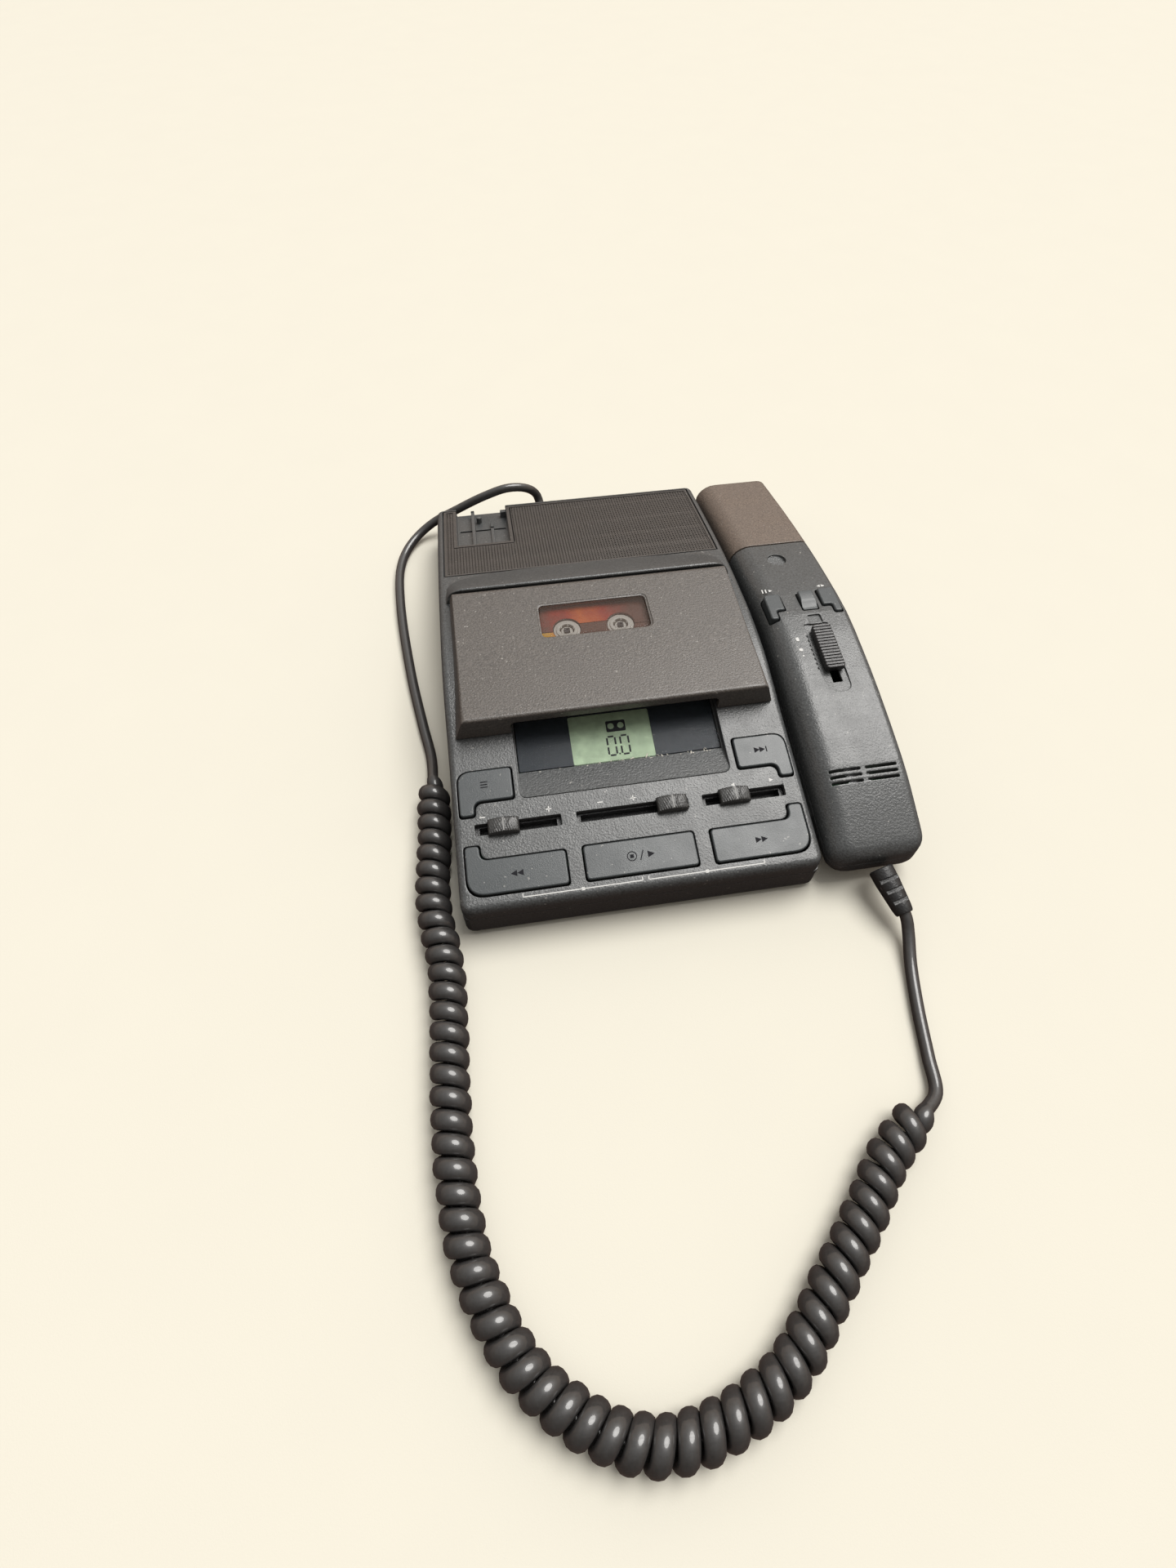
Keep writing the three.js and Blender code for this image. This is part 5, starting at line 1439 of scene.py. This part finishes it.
piece(handset_upper(), "handset_upper", "handset", CASE, ["handset_top_shell"], edge=0.25)
piece(handset_lower(), "handset_lower", "handset", CASE, ["handset_bottom_shell"], edge=0.25)
key_top = handset_top(104)
for side, outline, rise in (("left", rocker_left, 0.9), ("right", rocker_right, 1.1)):
    key = pillow(outline(0), ROCKER_FOOT, key_top + rise, 0.7)
    piece(key, f"rocker_{side}", f"handset_{side}", KEY, [f"handset_key_{side}"], angle=45)
piece(record_rocker(), "record_rocker", "record", KEY, ["record_button"], edge=0.15)
piece(switch_pad(), "slide_pad", "handset_switch", BLACK, ["handset_slide_switch"], edge=0.1)
left_mark_y, right_mark_y = LEFT_Y[1] + 3.6, RIGHT_Y[1] + 2.6
handset_marks = [
    bar_shape(LEFT_X[0] + 1.2, left_mark_y, 0.5, 2.0),
    bar_shape(LEFT_X[0] + 2.6, left_mark_y, 0.5, 2.0),
    triangle(LEFT_X[0] + 4.6, left_mark_y, 1.5, 1),
    triangle(RIGHT_X[0] + 2.2, right_mark_y, 1.5, -1),
    triangle(RIGHT_X[0] + 4.2, right_mark_y, 1.5, 1),
    rectangle((75.4, 76.6), (84.2, 86.8), 0.5, 4),
    circle(76.0, 80.2, 0.8, 16),
    circle(76.1, 77.3, 0.4, 12),
]
piece(handset_prints(handset_marks), "handset_marks", "handset", PAINT)
piece(boot(), "cord_boot", "handset", BLACK, ["strain_relief"], edge=0.15)
clear_scratch()

# ---------------------------------------------------------------- coiled cord

COIL_KNOTS = [
    (72, -78.6), (64.2, -82.3), (54.6, -89.8), (47.8, -97.3), (32, -113), (9, -133), (-24, -140), (-52, -124),
    (-66.5, -98), (-70.3, -76), (-71, -55), (-70.4, -30), (-70.6, -12), (-73.4, 5), (-74, 16), (-72.6, 38),
    (-72.4, 62),
]
COIL_OUTER = 6.5
COIL_PITCH = 6.4
COIL_TAPER = 7
COIL_STEP = 0.32
COIL_SIDES = 12
WIRE = 2.15
WIRE_WIDE = 2.9
LEAD_RADIUS = WIRE - 0.05
LEAD_SIDES = 14
HANDSET_LEAD = [
    (88.6, -16.2, 9.4), (89.2, -20, 7.7), (88.9, -24, 5.6), (86.6, -34, 2.9), (83.5, -48, 2.3),
    (80.8, -63, 2.3), (78.4, -73.5, 3.6), (71, -79, 6.5),
]
SOCKET_X, _, SOCKET_Z = (middle(r) for r in span("handset_socket"))
MACHINE_LEAD = [
    (-72.4, 60, 6.5), (-73.2, 76, 2.6), (-76, 92, 2.2), (-80.5, 121, 2.2), (-84.7, 165, 2.2),
    (-84.4, 190, 2.3), (-80.6, 203, 2.8), (-74, 211.5, 4.6), (-66, 215.5, 8), (-54, 216.5, 13.4),
    (-40, 216.8, 19.6), (-28, 217.6, 22.6), (-18.6, 219.6, 20), (-13.4, 221.6, 14), (SOCKET_X, 219, 9.4),
    (SOCKET_X, 214, SOCKET_Z),
]


UP = np.array((0.0, 0.0, 1.0))


def unit(vector):
    return vector / np.linalg.norm(vector)


def directions(points):
    """The unit vectors along a line of points."""
    steps = np.gradient(points, axis=0)
    return steps / np.linalg.norm(steps, axis=1, keepdims=True)


def travelled(points):
    """The distance covered at each of a line of points."""
    return np.concatenate([[0], np.cumsum(np.linalg.norm(np.diff(points, axis=0), axis=1))])


def ring_angles(sides):
    return np.linspace(0, 2 * math.pi, sides, endpoint=False)


def blend_points(first, second, from_t, to_t, t):
    """The point at t on the straight line that is at first for from_t and at second for to_t."""
    return (to_t - t) / (to_t - from_t) * first + (t - from_t) / (to_t - from_t) * second


def curve_points(knots, spacing):
    """Evenly spaced points along a centripetal Catmull-Rom curve through the knots."""
    knots = [np.array(k, dtype=float) for k in knots]
    knots = [2 * knots[0] - knots[1], *knots, 2 * knots[-1] - knots[-2]]
    dense = []
    for i in range(1, len(knots) - 2):
        p0, p1, p2, p3 = knots[i - 1:i + 3]
        t0 = 0.0
        t1 = t0 + np.linalg.norm(p1 - p0) ** 0.5
        t2 = t1 + np.linalg.norm(p2 - p1) ** 0.5
        t3 = t2 + np.linalg.norm(p3 - p2) ** 0.5
        for t in np.linspace(t1, t2, 24, endpoint=False):
            a1 = blend_points(p0, p1, t0, t1, t)
            a2 = blend_points(p1, p2, t1, t2, t)
            a3 = blend_points(p2, p3, t2, t3, t)
            b1 = blend_points(a1, a2, t0, t2, t)
            b2 = blend_points(a2, a3, t1, t3, t)
            dense.append(blend_points(b1, b2, t1, t2, t))
    dense = np.array([*dense, knots[-2]])
    travel = travelled(dense)
    marks_at = np.linspace(0, travel[-1], max(2, round(travel[-1] / spacing) + 1))
    return np.stack([np.interp(marks_at, travel, dense[:, k]) for k in range(3)], axis=1)


def lead(knots, spacing):
    """A plain round cord through the knots."""
    points = curve_points(knots, spacing)
    tangents = directions(points)
    normal = np.cross(tangents[0], UP)
    rings = []
    for p, t in zip(points, tangents):
        normal = unit(normal - t * np.dot(normal, t))
        other = np.cross(t, normal)
        rings.append([tuple(p + LEAD_RADIUS * (math.cos(a) * normal + math.sin(a) * other))
                      for a in ring_angles(LEAD_SIDES)])
    return loft(rings)


def coil_centreline():
    """The centreline of the wound cord, which is a helix round a path along the desk, and the path's unit
    directions at the same points."""
    axis = curve_points([(x, y, COIL_OUTER) for x, y in COIL_KNOTS], COIL_STEP)
    tangents, travel = directions(axis), travelled(axis)
    centres = []
    for p, t, s in zip(axis, tangents, travel):
        side = unit(np.cross(t, UP))
        taper = min(1.0, s / COIL_TAPER + 0.05, (travel[-1] - s) / COIL_TAPER + 0.05)
        turn = 2 * math.pi * s / COIL_PITCH
        wobble = 0.98 + 0.02 * math.sin(s * 0.37)
        reach = (COIL_OUTER - WIRE) * taper * wobble
        centres.append(p + reach * (math.cos(turn) * side + math.sin(turn) * UP))
    return np.array(centres), tangents


def coil():
    """The wound cord. Its section is flattened: wider along the coil than it is thick."""
    centres, axes = coil_centreline()
    angles = ring_angles(COIL_SIDES)
    rings = []
    for p, t, axis in zip(centres, directions(centres), axes):
        wide = axis - t * np.dot(axis, t)
        share = min(1.0, np.linalg.norm(wide) / 0.6)
        wide /= max(np.linalg.norm(wide), 1e-6)
        thin = np.cross(t, wide)
        half = WIRE + (WIRE_WIDE - WIRE) * share
        rings.append([tuple(p + half * math.cos(a) * wide + WIRE * math.sin(a) * thin) for a in angles])
    return loft(rings)


piece(coil(), "cord_coil", "machine", CORD, ["handset_cord"], angle=60)
piece(lead(MACHINE_LEAD, 2.0), "cord_tail", "machine", CORD, angle=60)
bending = ("machine", "handset", HANDSET_LEAD[-2], HANDSET_LEAD[1])
piece(lead(HANDSET_LEAD, 1.2), "cord_lead", bending, CORD, angle=60)
clear_scratch()

# ---------------------------------------------------------------- the CAD nodes that stay

CARRIED = {
    CASE: ["base_shell"],
    BLACK: [
        "foot_control_socket", "handset_socket", "headset_socket", "power_socket", "cord_plug", "drive_wheel",
        "erase_head", "speed_pot", "volume_pot", "tone_pot",
    ],
    RUBBER: ["foot_front_left", "foot_front_right", "foot_rear_left", "foot_rear_right", "drive_belt"],
    STEEL: [
        "lid_hinge_pin", "lid_catch", "deck_plate", "motor", "head_bridge", "playback_head", "mic_capsule",
        "case_screw_1", "case_screw_2", "case_screw_3", "case_screw_4",
    ],
    BRASS: ["motor_pulley"],
    BOARD: ["main_board", "key_board", "handset_board"],
    CONE: ["loudspeaker"],
}
CARRIED_EDGE = 0.00015
CASE_EDGE = 0.0006
CARRIED_ANGLE = 38


def carry(node, material):
    """A CAD node keeps its shape; its edges are rounded a little and it gets the finished material."""
    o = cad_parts[node]
    for s in o.material_slots:
        s.link = "OBJECT"
        s.material = material
    round_edges(o, CASE_EDGE if node == "base_shell" else CARRIED_EDGE, CARRIED_ANGLE, careful=True)


for material, nodes in CARRIED.items():
    for node in nodes:
        carry(node, material)

# ---------------------------------------------------------------- floor, light and camera


PAPER_TONES = ((0.83, 0.8, 0.695), (0.85, 0.82, 0.71))
# Painted shade: the floor's colour for all but camera rays, dark so that the machine's upright faces stay in
# shade.
PAINTED_SHADE_BOUNCE = (0.075, 0.05, 0.04)
FLOOR_SIDE = 8.0


def floor():
    """Pale paper to the camera. To the machine it is painted dark, a painted shade that keeps the machine's
    upright faces deep in tone.
    """
    n = material_nodes("floor_paper")
    paper = n.mix(n.noise(30.0), *PAPER_TONES)
    path = n.add("LightPath", {})
    n.set(Base_Color=n.mix(path.outputs["Is Camera Ray"], PAINTED_SHADE_BOUNCE, paper), Roughness=0.9)
    n.bump(n.noise(2500.0), 0.00002)
    mesh = bpy.data.meshes.new("floor")
    mesh.from_pydata([(x, y, DESK) for x, y in bar_shape(0, 0, FLOOR_SIDE, FLOOR_SIDE)], [], [(0, 1, 2, 3)])
    mesh.materials.append(n.owner)
    place_object("floor", mesh)


SKY_COLORS = [
    (0.0, (0.8, 0.62, 0.5)), (0.35, (0.75, 0.64, 0.55)), (0.7, (0.85, 0.82, 0.78)), (1.0, (1.0, 1.0, 1.0)),
]
SKY_STRENGTH = (0.05, 0.85)
SKY_HEADING = (0.35, 0.85, 0.2)
BACKDROP = (0.95, 0.91, 0.78)


def sky():
    """A white ceiling over a warm horizon, brighter on the far side. The camera sees pale paper instead."""
    world = bpy.data.worlds.new("studio")
    bpy.context.scene.world = world
    n = Nodes(world)
    heading = n.coordinates.outputs["Generated"]
    color = n.ramp(n.add("SeparateXYZ", {0: heading}).outputs["Z"], SKY_COLORS)
    strength = n.band(n.dot(heading, SKY_HEADING), -1.0, 1.0, *SKY_STRENGTH)
    light = n.add("Background", {"Color": color, "Strength": strength}).outputs[0]
    backdrop = n.add("Background", {"Color": BACKDROP}).outputs[0]
    path = n.add("LightPath", {})
    seen = n.add("MixShader", {0: path.outputs["Is Camera Ray"], 1: light, 2: backdrop})
    n.feed(seen.outputs["Shader"], n.tree.nodes["World Output"].inputs["Surface"])


SUN_STRENGTH = 2.5
SUN_SPREAD = math.radians(39)
SUN_HEIGHT = math.radians(65)
SUN_SIDE = math.radians(57)
SUN_COLOR = (1.0, 0.98, 0.95)


def heading_vector(side, height):
    """A unit vector at an angle from straight back towards the right, and at an angle above the desk."""
    level_part = math.cos(height)
    return Vector((math.sin(side) * level_part, math.cos(side) * level_part, math.sin(height)))


def sun():
    """A broad lamp behind the machine and to its right."""
    lamp = bpy.data.lights.new("sun", "SUN")
    lamp.energy = SUN_STRENGTH
    lamp.angle = SUN_SPREAD
    lamp.color = SUN_COLOR
    towards = heading_vector(SUN_SIDE, SUN_HEIGHT)
    place_object("sun", lamp).rotation_euler = towards.to_track_quat("Z", "Y").to_euler()


CAMERA_PLACE = (-36.87, -108.26, 272.52)
CAMERA_DOWN = math.radians(53.43)
CAMERA_TURN = math.radians(8.676)
CAMERA_ROLL = math.radians(0.09)
CAMERA_LENS = 18.164
CAMERA_SHIFT = -0.0464


def camera():
    """Looks forward and down on the machine from in front, with its own optical centre above the middle."""
    ahead = heading_vector(CAMERA_TURN, -CAMERA_DOWN)
    side = ahead.cross(Vector((0, 0, 1))).normalized()
    up = side.cross(ahead)
    turned = side * math.cos(CAMERA_ROLL) + up * math.sin(CAMERA_ROLL)
    up = turned.cross(ahead)
    view = bpy.data.cameras.new("camera")
    view.lens = CAMERA_LENS
    view.sensor_width = 36.0
    view.sensor_fit = "AUTO"
    view.shift_y = CAMERA_SHIFT
    view.clip_start = 0.01
    made = place_object("camera", view)
    turn = Matrix((turned, up, -ahead)).transposed().to_4x4()
    made.matrix_world = Matrix.Translation(TO_PART @ Vector(CAMERA_PLACE)) @ turn
    bpy.context.scene.camera = made


floor()
sky()
sun()
camera()
bpy.context.scene.view_settings.view_transform = "Standard"
